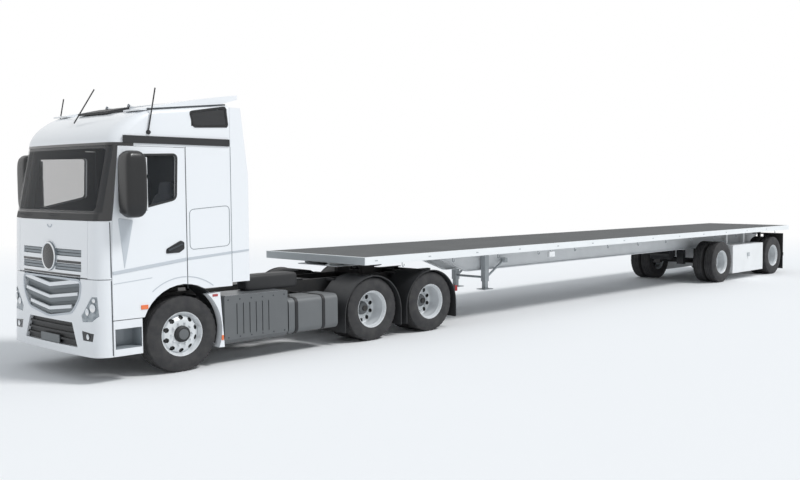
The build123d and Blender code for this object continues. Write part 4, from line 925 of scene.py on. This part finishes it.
class LORRY_OT_front(bpy.types.Operator):
    """Dress the front: white chevron bars, lamps, blank plate, and the flap's disc and dark seams"""

    bl_idname = "lorry.front"
    bl_label = "Front"

    def execute(self, context):
        parts = []
        for mid, width, half in CHEVRONS:
            y = np.linspace(-half, half, 61)
            bar = on_front(y, mid + CHEVRON_RISE * np.abs(y), -BAR_SINK)
            parts.append(("gloss_white_enamel", strip(bar, FORWARD, width, BAR_SINK)))
        # The grille's raised surround is a grey white strip: painted shade along its edges
        rim = on_front(*rounded(GRILLE_RIM, 0.09, 8).T)
        parts.append(("painted_shade_white_enamel", strip(rim, FORWARD, width=0.030, thick=0.007, closed=True)))
        face = np.array((float(front_x(0, PLATE_FACE_Z)), 0, 0))
        parts.append(("blank_plate", slab(face + PLATE_BACK, face + PLATE_FRONT, edge=0.003)))
        for _, s in SIDES:
            parts += [("bright_chrome", lamp_cup(*lamp, s)) for lamp in (*HEAD_LAMPS, FOG_LAMP)]
        piece("front_trim", "tractor", parts)

        disc = (float(front_x(0, DISC_Z)) + DISC_RISE, 0, DISC_Z)
        angle = np.linspace(0, 2 * pi, 17)
        ring = np.stack([0.010 * np.sin(angle) + 0.002, RING_R + 0.013 * np.cos(angle)], -1)
        parts = [
            ("bright_chrome", turned(ring, disc, FORWARD, segments=72)),
            ("black_trim_and_painted_shade", turned(DISC_DOME, disc, FORWARD, segments=72)),
        ]
        for start, end, count, z, width in FLAP_SEAMS:
            seam = on_front(line(start, end, count), z)
            parts.append(("black_trim_and_painted_shade", strip(seam, FORWARD, width, thick=0.003)))
        # The flap's pull is a tube in the grey white of painted shade
        angle = np.linspace(pi, 2 * pi, 17)
        pull = on_front(0.055 * np.cos(angle), PULL_Z + 0.04 * np.sin(angle), 0.002)
        parts.append(("painted_shade_white_enamel", tube(pull, radius=0.007)))
        piece("flap_trim", "flap", parts)
        return {"FINISHED"}


# Lines on the cab's sides: x from the front axle and height
WINDOW = ((0.858, 2.133), (0.748, 2.871), (0.073, 2.896), (0.093, 2.312))
LOCKER = ((-0.097, 1.635), (-0.700, 1.663), (-0.700, 2.215), (-0.097, 2.170))
# The facet below the mirror: a plate of painted shade where the door's panel turns from the light
FACET = ((0.885, 2.080), (0.690, 2.050), (0.814, 1.440))
ROOF_WINDOW = ((-0.139, 3.463), (-0.189, 3.275), (-0.694, 3.300), (-0.663, 3.556))
HANDLE = ((0.252, 1.600), (0.245, 1.662), (0.040, 1.765), (-0.012, 1.740), (-0.012, 1.650), (0.060, 1.605))
GRIP = ((0.225, 1.640), (0.020, 1.715))
# Creases drawn as grey white strips of painted shade on their shaded sides: x from the front axle and height at
# each end
BELT_DOOR = ((0.968, 1.391), (-0.038, 1.512))
BELT_CAB = ((-0.056, 1.514), (-0.725, 1.565))
BELT_REAR = ((-0.735, 1.566), (-1.005, 1.587))
LOW_LINE = ((0.962, 1.256), (0.450, 1.300))
FRONT_GAP_X = 0.9895
DOOR_GAP_X = -0.0535
REAR_GAP_X = -0.7302
# The arch's flare: the height of its middle and its radius; it is drawn as an arc of painted shade
ARCH_Z = 0.58
FLARE_R = 0.70
DOOR_STRIPS = (  # finish, path, width and height of a strip on the door, and whether its path is closed
    ("moulded_black_plastic", rounded(WINDOW, 0.06), 0.030, 0.004, True),
    # After the window's rubber: painted shade along the belt crease, the low crease and the arch's flare
    ("painted_shade_white_enamel", line(*BELT_DOOR), 0.046, 0.007, False),
    ("painted_shade_white_enamel", line(*LOW_LINE), 0.010, 0.003, False),
    ("painted_shade_white_enamel", arc_points(0, ARCH_Z, FLARE_R, 50, 93), 0.014, 0.004, False),
)
CAB_STRIPS = (  # the same for the cab behind the door and for the gaps round it
    # Painted shade along the belt crease and the arch's flare behind the door, then seams and gap rubbers
    ("painted_shade_white_enamel", line(*BELT_CAB), 0.036, 0.006, False),
    ("painted_shade_white_enamel", line(*BELT_REAR), 0.028, 0.006, False),
    ("painted_shade_white_enamel", arc_points(0, ARCH_Z, FLARE_R, 95, 128), 0.014, 0.004, False),
    ("seam_sealer_grey", rounded(LOCKER, 0.07), 0.008, 0.003, True),
    ("seam_sealer_grey", line((REAR_GAP_X, 1.16), (REAR_GAP_X, 3.02)), 0.008, 0.003, False),
    ("seal_rubber_and_painted_shadow", line((DOOR_GAP_X, 1.12), (DOOR_GAP_X, 3.0), 30), 0.008, 0.002, False),
    ("seal_rubber_and_painted_shadow", line((FRONT_GAP_X, 1.34), (FRONT_GAP_X, 2.03), 30), 0.008, 0.002, False),
    ("seal_rubber_and_painted_shadow", line((FRONT_GAP_X, 0.36), (FRONT_GAP_X, 1.30), 30), 0.008, 0.002, False),
    ("black_trim_and_painted_shade", rounded(ROOF_WINDOW, 0.03), 0.034, 0.004, True),
)
# Marker lamps: two corners each, as x from the front axle, distance from the middle and height
DOOR_MARKER = ((0.515, CAB_HALF, 0.903), (0.610, CAB_HALF + 0.012, 0.958))
LOW_MARKER = ((-0.582, 1.236, 0.36), (-0.548, 1.249, 0.43))
HIGH_MARKER = ((-0.500, 1.236, 0.975), (-0.420, 1.249, 1.008))
MIRROR = ((0.650, 0.920), (1.290, 1.580), (2.120, 2.890))  # x from the front axle, y and z
MIRROR_ARMS = (0.06, 0.73)  # heights above the mirror's foot
MIRROR_GLASSES = ((0.05, 0.46), (0.50, 0.72))

# The roof: heights, and x from the front axle
ROOF_HIGH = 3.438
ROOF_FRONT = 0.60
ROOF_RISE = 0.113
ROOF_REAR = -0.73
ROOF_EDGE = 0.07
ROOF_INSET = 0.004  # the roof's sides lie this far behind its small windows
BROW_LONG = 0.50
BROW_POWER = 1.7
# Where the painted shadow under the spoiler lies: the spoiler's sides, from and to x past the front axle, and
# its lift above the roof's slope
SPOILER_HALF = 1.19
EAVES = (0.44, -0.70)
EAVES_LIFT = 0.012
ROOF_STUD = ((-0.006, 0.0), (-0.006, 0.030), (0.012, 0.028), (0.022, 0.016), (0.024, 0.0))
ROOF_STUD_X = 0.457
ROOF_STUD_Z = 3.17
HORN_BELL = ((0, 0), (0, 0.012), (0.12, 0.014), (0.19, 0.024), (0.23, 0.045))
HORN_INSIDE = ((0.228, 0.04), (0.18, 0.016), (0.17, 0.0))
HORN_Y = 0.30


def roof_skin(rows=90, cols=90):
    """The roof's cap over the plan of the cab, closed below.

    Behind its front edge it rises as a superellipse of the distance, up to the roof's slope, and its sides fall
    as quarter circles.
    """
    half = CAB_HALF - ROOF_INSET
    q, turn = np.meshgrid(np.linspace(0, 1, rows), np.linspace(-pi / 2, pi / 2, cols), indexing="ij")
    y = half * np.sin(turn)
    edge = front_x(y, ROOF_LOW)
    x = edge - (edge - AXLE_X - ROOF_REAR) * q**2
    rise = (1 - np.clip(1 - (edge - x) / BROW_LONG, 0, 1) ** BROW_POWER) ** (1 / BROW_POWER)
    inward = np.clip(ROOF_EDGE - half + np.abs(y), 0, ROOF_EDGE)
    fall = ROOF_EDGE - np.sqrt(ROOF_EDGE**2 - inward**2)
    top = ROOF_HIGH + (AXLE_X + ROOF_FRONT - x) * ROOF_RISE - fall
    z = np.pad(ROOF_LOW + rise * (top - ROOF_LOW), 1, constant_values=ROOF_LOW)
    cap = np.stack([np.pad(x, 1, mode="edge"), np.pad(y, 1, mode="edge"), z], -1).reshape(-1, 3)
    base = cap * (1, 1, 0) + (0, 0, ROOF_LOW)
    faces = quads(rows + 2, cols + 2)
    return np.concatenate([cap, base]), np.concatenate([faces, faces[:, ::-1] + len(cap)])


def side_strips(rows, s):
    """Flat strips along paths on one side of the cab, each with its finish."""
    return [
        (finish, strip(on_side(path, s), (0, s, 0), width, thick, closed))
        for finish, path, width, thick, closed in rows
    ]


def side_plate(outline, s, depth, edge):
    """A flat plate on one side of the cab: a rounded outline raised by a depth, its top's edge drawn in."""
    outline = rounded(outline, 0.02)
    mid = np.repeat(outline.mean(axis=0)[None], len(outline), axis=0)
    away = outline - mid
    inner = outline - away * (edge / np.linalg.norm(away, axis=1))[:, None]
    levels = ((mid, 0.0), (outline, 0.0), (outline, depth - edge), (inner, depth), (mid, depth))
    verts = np.concatenate([np.insert(flat, 1, CAB_HALF + lift, axis=1) for flat, lift in levels])
    return verts * (1, s, 1) + (AXLE_X, 0, 0), quads(len(levels), len(outline), loop=True)


def marker(corners, s, edge):
    """A lamp's block on one side, between two corners."""
    return slab(*(np.array((AXLE_X + x, s * y, z)) for x, y, z in corners), edge)


def mirror_parts(s):
    """A door's mirror, a padded housing on two arms with two glasses at its back, and the door's handle."""
    (x0, x1), (y0, y1), (z0, z1) = MIRROR
    x0, x1 = AXLE_X + x0, AXLE_X + x1
    mid = ((x0 + x1) / 2, s * (y0 + y1) / 2, (z0 + z1) / 2)
    half = ((x1 - x0) / 2, (y1 - y0) / 2, (z1 - z0) / 2)
    parts = [("black_trim_and_painted_shade", cushion(mid, half, power=0.36))]
    for rise in MIRROR_ARMS:
        arm = line((x1 - 0.09, s * CAB_HALF, z0 + rise), (x1 - 0.09, s * (y0 + 0.06), z0 + rise - 0.01))
        parts.append(("black_trim_and_painted_shade", tube(arm, radius=0.026, segments=12)))
    for low, high in MIRROR_GLASSES:
        glass = (x0 - 0.002, s * (y0 + 0.03), z0 + low), (x0 + 0.02, s * (y1 - 0.03), z0 + high)
        parts.append(("silvered_mirror", slab(*glass, edge=0.006)))
    parts.append(("moulded_black_plastic", side_plate(HANDLE, s, depth=0.010, edge=0.005)))
    grip = on_side(line(*GRIP), s, lift=0.016)
    parts.append(("seal_rubber_and_painted_shadow", tube(grip, radius=0.014, segments=10)))
    return parts


class LORRY_OT_cab_trim(bpy.types.Operator):
    """Dress the cab: round-browed roof, rubbers, painted shade along the creases, locker outlines, a painted
    shadow under the spoiler, mirrors, markers and horns
    """

    bl_idname = "lorry.cab_trim"
    bl_label = "Cab trim"

    def execute(self, context):
        made = piece("roof_skin", "tractor", [("roof_white_enamel", roof_skin())])
        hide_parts("cab_roof")
        parts = []
        eaves = line(*EAVES, 20)
        eaves_z = ROOF_HIGH + (ROOF_FRONT - eaves) * ROOF_RISE + EAVES_LIFT
        for side, s in SIDES:
            door = side_strips(DOOR_STRIPS, s)
            # The facet below the mirror is painted shade
            door.append(("painted_shade_white_enamel", side_plate(FACET, s, depth=0.006, edge=0.003)))
            door.append(("orange_lens", marker(DOOR_MARKER, s, edge=0.004)))
            piece(f"door_trim_{side}", f"door_{side}", door)
            made = piece(f"mirror_{side}", f"door_{side}", mirror_parts(s))
            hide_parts(f"door_fittings_{side}")

            out = (0, s, 0)
            spoiler = np.stack([AXLE_X + eaves, np.full(len(eaves), s * SPOILER_HALF), eaves_z], -1)
            stud_at = (AXLE_X + ROOF_STUD_X, s * CAB_HALF, ROOF_STUD_Z)
            parts += side_strips(CAB_STRIPS, s) + [
                ("orange_lens", marker(LOW_MARKER, s, edge=0.003)),
                ("red_lens", marker(HIGH_MARKER, s, edge=0.003)),
                # A dark strip along the spoiler's foot: a painted shadow under it
                ("seal_rubber_and_painted_shadow", strip(spoiler, out, width=0.022, thick=0.002)),
                ("moulded_black_plastic", turned(ROOF_STUD, stud_at, out, segments=20)),
            ]
        foot = ROOF_HIGH + (ROOF_FRONT - 0.08) * ROOF_RISE
        for y in (-HORN_Y, HORN_Y):
            horn = turned(HORN_BELL + HORN_INSIDE, (AXLE_X - 0.02, y, foot + 0.055), FORWARD, segments=24)
            stand = (AXLE_X + 0.03, y - 0.012, foot - 0.01), (AXLE_X + 0.07, y + 0.012, foot + 0.05)
            parts += [("bright_chrome", horn), ("moulded_black_plastic", slab(*stand, edge=0.003))]
        piece("cab_trim", "tractor", parts)
        return {"FINISHED"}


SEAT_Y = 0.56
SEATS = (  # x from the front axle, height, half sizes along x, y and z, lean
    (0.17, 1.66, (0.24, 0.26, 0.10), 0.05),
    (-0.115, 2.02, (0.085, 0.26, 0.34), 0.13),
    (-0.165, 2.43, (0.05, 0.14, 0.10), 0.13),
)
BUNK_FRONT = -0.26  # x from the front axle
BUNK_Z = 1.655
BUNK_HALF_HIGH = 0.065
BUNK_BASE_HIGH = 1.60
SEAT_BASE = ((-0.06, 0.33), 0.2, 1.57)  # x from the front axle, half width and height of its top


class LORRY_OT_seats(bpy.types.Operator):
    """Make the padded seats and the bunk in place of the plain blocks"""

    bl_idname = "lorry.seats"
    bl_label = "Seats"

    def execute(self, context):
        low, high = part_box("cab_seats")
        pads = []
        for _, s in SIDES:
            for x, z, half, lean in SEATS:
                pads.append(("seat_cloth", cushion((AXLE_X + x, s * SEAT_Y, z), half, lean)))
        made = piece("seat_pads", "tractor", pads)

        front = AXLE_X + BUNK_FRONT
        half = ((front - low.x) / 2, high.y - 0.01, BUNK_HALF_HIGH)
        mattress = cushion(((low.x + front) / 2, 0, BUNK_Z), half, power=0.25)
        made = piece("bunk_pad", "tractor", [("seat_cloth", mattress)])

        base = slab(low, (front, high.y, BUNK_BASE_HIGH), edge=0.02)
        bases = [("cab_trim_grey", base)]
        (x0, x1), half, top = SEAT_BASE
        for _, s in SIDES:
            corners = (AXLE_X + x0, s * (SEAT_Y - half), low.z), (AXLE_X + x1, s * (SEAT_Y + half), top)
            bases.append(("cab_trim_grey", slab(*corners, edge=0.03)))
        made = piece("seat_bases", "tractor", bases)
        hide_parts("cab_seats")
        return {"FINISHED"}


CHASSIS_TOP = 0.99
BOLT = ((-0.002, 0.0), (-0.002, 0.011), (0.004, 0.010), (0.007, 0.005), (0.008, 0.0))
TANK_CAP = ((-0.004, 0.0), (-0.004, 0.052), (0.02, 0.052), (0.028, 0.044), (0.030, 0.0))
STEP_BARS = np.linspace(1.025, 1.225, 6)  # y of the step's bars
STEP_BAR_X = (0.607, 0.953)  # from the front axle, as the next ones are
CATWALK_X = (-2.55, -1.10)
REAR_BOX_X = -1.62
REAR_BOX_Y = 0.80
REAR_BOX_HALF = (0.46, 0.14, 0.115)
GUARD_R = 0.591
GUARD_Z = 0.455
GUARD_FOOT = 0.20
GUARD_Y = 1.239


class LORRY_OT_chassis_trim(bpy.types.Operator):
    """Dress the chassis: tread plate and bolts on the boxes, tank caps, step grating and guard edges"""

    bl_idname = "lorry.chassis_trim"
    bl_label = "Chassis trim"

    def execute(self, context):
        parts = []
        low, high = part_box("side_boxes")
        _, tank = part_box("fuel_tanks")
        flat = np.zeros(len(STEP_BARS))
        for _, s in SIDES:
            out = (0, s, 0)
            inner, outer = s * 0.65, s * (high.y - 0.01)
            tread = (low.x + 0.02, inner, high.z - 0.001), (high.x - 0.02, outer, high.z + 0.008)
            columns = np.linspace(low.x + 0.06, high.x - 0.06, 6)
            x, z = np.meshgrid(columns, (low.z + 0.09, high.z - 0.05), indexing="ij")
            bolts = np.stack([x.ravel(), np.full(x.size, s * high.y), z.ravel()], -1)
            cap = turned(TANK_CAP, (tank.x - 0.16, s * 0.95, tank.z - 0.008), UP, segments=28)
            rear, front = AXLE_X + STEP_BAR_X[0], AXLE_X + STEP_BAR_X[1]
            bar = slab((rear, -0.012, 0.430), (front, 0.012, 0.442), edge=0.003)
            rear, front = AXLE_X + CATWALK_X[0], AXLE_X + CATWALK_X[1]
            walk = (rear, s * 0.02, CHASSIS_TOP - 0.002), (front, s * 0.43, CHASSIS_TOP + 0.028)
            box_at = (AXLE_X + REAR_BOX_X, s * REAR_BOX_Y, high.z + REAR_BOX_HALF[2])
            parts += [
                ("chequer_plate", slab(*tread, edge=0.003)),
                ("seal_rubber_and_painted_shadow", many(turned(BOLT, (0, 0, 0), out, segments=10), bolts)),
                ("moulded_black_plastic", cap),
                ("seam_sealer_grey", many(bar, np.stack([flat, s * STEP_BARS, flat], -1))),
                ("black_chequer_plate", slab(*walk, edge=0.004)),
                ("moulded_black_plastic", cushion(box_at, REAR_BOX_HALF, power=0.3)),
            ]
            for name in ("drive_1", "drive_2"):
                x = middle(f"tyres_{name}_left").x
                arch = arc_points(x, GUARD_Z, GUARD_R, 0, 180)
                arch = np.concatenate([[(x + GUARD_R, GUARD_FOOT)], arch, [(x - GUARD_R, GUARD_FOOT)]])
                edge = np.insert(arch, 1, s * GUARD_Y, axis=1)
                parts.append(("moulded_black_plastic", strip(edge, out, width=0.018, thick=0.006)))
        piece("chassis_trim", "tractor", parts)
        return {"FINISHED"}


HOOK_R = 0.022
HOOK_DROP = 0.05
LAMP_BOX_X = -7.98  # from the front axle
LATCH_SHARE = 0.62  # of the lid's height


class LORRY_OT_trailer_trim(bpy.types.Operator):
    """Dress the trailer: header face, rail marks, hooks, tail lamps, lamp box and toolbox latches"""

    bl_idname = "lorry.trailer_trim"
    bl_label = "Trailer trim"

    def execute(self, context):
        low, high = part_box("deck_rails")
        pitch = context.scene.lorry_sizes.hook_pitch
        header_low = (high.x - 0.004, low.y + 0.006, low.z + 0.004)
        header_high = (high.x + 0.005, high.y - 0.006, high.z - 0.004)
        parts = [("header_grey_extrusion", slab(header_low, header_high, edge=0.002))]
        stations = np.arange(high.x - 0.84, low.x + 0.3, -pitch)
        flat = np.zeros(len(stations))
        turn = np.linspace(0, pi, 11)
        bend = np.stack([HOOK_R * np.cos(turn), 0 * turn, -HOOK_DROP - HOOK_R * np.sin(turn)], -1)
        bend = np.concatenate([[(HOOK_R, 0, 0.006)], bend, [(-HOOK_R, 0, -0.03)]])
        hook = tube(bend, radius=0.006, segments=6)
        mark = slab((-0.03, -0.003, -0.010), (0.03, 0.003, 0.010), edge=0.002)
        x = AXLE_X + LAMP_BOX_X
        for _, s in SIDES:
            hooks = np.stack([stations, flat + s * (high.y - 0.02), flat + low.z], -1)
            marks = np.stack([stations + pitch / 2, flat + s * high.y, flat + (low.z + high.z) / 2], -1)
            tail = (low.x - 0.006, s * 0.80, low.z + 0.012), (low.x + 0.002, s * 1.20, high.z - 0.012)
            box = (x - 0.09, s * 1.20, low.z - 0.15), (x + 0.09, s * 1.27, low.z - 0.04)
            bracket = (x - 0.02, s * 1.225, low.z - 0.05), (x + 0.02, s * 1.245, low.z + 0.004)
            parts += [
                ("seam_sealer_grey", many(hook, hooks)),
                ("header_grey_extrusion", many(mark, marks)),
                ("red_lens", slab(*tail, edge=0.003)),
                ("toolbox_white_enamel", slab(*box, edge=0.008)),
                ("trailer_grey_enamel", slab(*bracket, edge=0.003)),
            ]
        piece("trailer_trim", "trailer", parts)
        for side, s in SIDES:
            low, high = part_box(f"toolbox_door_{side}")
            face = high.y if s > 0 else low.y
            x, z = (low.x + high.x) / 2, low.z + LATCH_SHARE * (high.z - low.z)
            base = (x - 0.07, face - s * 0.001, z - 0.05), (x + 0.07, face + s * 0.007, z + 0.05)
            grip = rod((x - 0.04, face + s * 0.013, z), (x + 0.04, face + s * 0.013, z), radius=0.009)
            latch = [("header_grey_extrusion", slab(*base, edge=0.003)), ("bright_chrome", grip)]
            piece(f"toolbox_latch_{side}", f"toolbox_lid_{side}", latch)
        return {"FINISHED"}


FLOOR_HALF = 150.0
FLOOR_Z = -0.002  # a little below the tyres
SKY_LIGHT = 0.58
SKY_COLOUR = (0.90, 0.95, 1.0, 1)
KEY_LIGHT = 1.75
KEY_WAY = (0.30, -0.55, -0.78)
KEY_SPREAD = radians(14)
# The camera that was fitted to the photograph: metres from the ground under the front axle, angles and pixels
CAMERA_FROM_AXLE = (6.758, 12.618, 2.472)
CAMERA_YAW = radians(218.97)
CAMERA_PITCH = radians(3.246)
FOCAL_PX = 938.118
CENTRE_SHIFT_PX = 130
PHOTO_WIDTH_PX = 800
SENSOR_MM = 36
FAR_END = 400


class LORRY_OT_stage(bpy.types.Operator):
    """Set the pale floor, the soft light and the camera"""

    bl_idname = "lorry.stage"
    bl_label = "Stage"

    def execute(self, context):
        scene = context.scene
        u = np.linspace(-FLOOR_HALF, FLOOR_HALF, 3)
        x, y = np.meshgrid(u, u, indexing="ij")
        verts = np.stack([x, y, np.full_like(x, FLOOR_Z)], -1).reshape(-1, 3)
        mesh = bpy.data.meshes.new("floor")
        mesh.from_pydata(verts.tolist(), [], quads(3, 3)[:, ::-1].tolist())
        mesh.materials.append(MATERIALS["pale_floor"])
        floor = bpy.data.objects.new("floor", mesh)
        scene.collection.objects.link(floor)

        # The sky lights the lorry softly, and is plain white where it is seen or mirrored
        world = bpy.data.worlds.new("studio")
        scene.world = world
        world.use_nodes = True
        tree = world.node_tree
        tree.nodes.clear()
        rays = add_node(tree, "ShaderNodeLightPath").outputs
        seen = rays["Is Camera Ray"]
        for ray in ("Is Glossy Ray", "Is Transmission Ray"):
            seen = add_node(tree, "ShaderNodeMath", [seen, rays[ray]], operation="MAXIMUM")
        light = add_node(tree, "ShaderNodeBackground", {"Color": SKY_COLOUR, "Strength": SKY_LIGHT})
        white = add_node(tree, "ShaderNodeBackground", {"Color": (1, 1, 1, 1), "Strength": 1.0})
        sky = add_node(tree, "ShaderNodeMixShader", [seen, light, white])
        add_node(tree, "ShaderNodeOutputWorld", {"Surface": sky})

        sun = bpy.data.lights.new("key", "SUN")
        sun.energy = KEY_LIGHT
        sun.angle = KEY_SPREAD
        key = bpy.data.objects.new("key", sun)
        key.rotation_euler = Vector(KEY_WAY).to_track_quat("-Z", "Y").to_euler()
        scene.collection.objects.link(key)

        lens = bpy.data.cameras.new("camera")
        lens.sensor_width = SENSOR_MM
        lens.lens = SENSOR_MM * FOCAL_PX / PHOTO_WIDTH_PX
        lens.shift_x = -CENTRE_SHIFT_PX / PHOTO_WIDTH_PX
        lens.clip_end = FAR_END
        camera = bpy.data.objects.new("camera", lens)
        camera.location = Vector((AXLE_X, 0, 0)) + Vector(CAMERA_FROM_AXLE)
        level = cos(CAMERA_PITCH)
        look = Vector((cos(CAMERA_YAW) * level, sin(CAMERA_YAW) * level, -sin(CAMERA_PITCH)))
        camera.rotation_euler = look.to_track_quat("-Z", "Y").to_euler()
        scene.collection.objects.link(camera)
        scene.camera = camera
        scene.view_settings.view_transform = "Standard"
        return {"FINISHED"}


class LORRY_PT_panel(bpy.types.Panel):
    """The lorry's steps and sizes in the sidebar"""

    bl_idname = "LORRY_PT_panel"
    bl_label = "Lorry"
    bl_space_type = "VIEW_3D"
    bl_region_type = "UI"
    bl_category = "Lorry"

    def draw(self, context):
        for step in STEPS:
            self.layout.operator(step.bl_idname)
        for group in (context.scene.lorry_sizes, context.scene.lorry_colours):
            for key in group.__annotations__:
                self.layout.prop(group, key)


STEPS = (
    LORRY_OT_finishes,
    LORRY_OT_tyres,
    LORRY_OT_wheels,
    LORRY_OT_front,
    LORRY_OT_cab_trim,
    LORRY_OT_seats,
    LORRY_OT_chassis_trim,
    LORRY_OT_trailer_trim,
    LORRY_OT_stage,
)
CLASSES = (LorrySizes, LorryColours, *STEPS, LORRY_PT_panel)


def register():
    for cls in CLASSES:
        bpy.utils.register_class(cls)
    bpy.types.Scene.lorry_sizes = bpy.props.PointerProperty(type=LorrySizes)
    bpy.types.Scene.lorry_colours = bpy.props.PointerProperty(type=LorryColours)


def unregister():
    del bpy.types.Scene.lorry_sizes
    del bpy.types.Scene.lorry_colours
    for cls in reversed(CLASSES):
        bpy.utils.unregister_class(cls)


def main():
    """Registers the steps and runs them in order."""
    register()
    for step in STEPS:
        group, name = step.bl_idname.split(".")
        getattr(getattr(bpy.ops, group), name)()


if __name__ == "__main__":
    main()
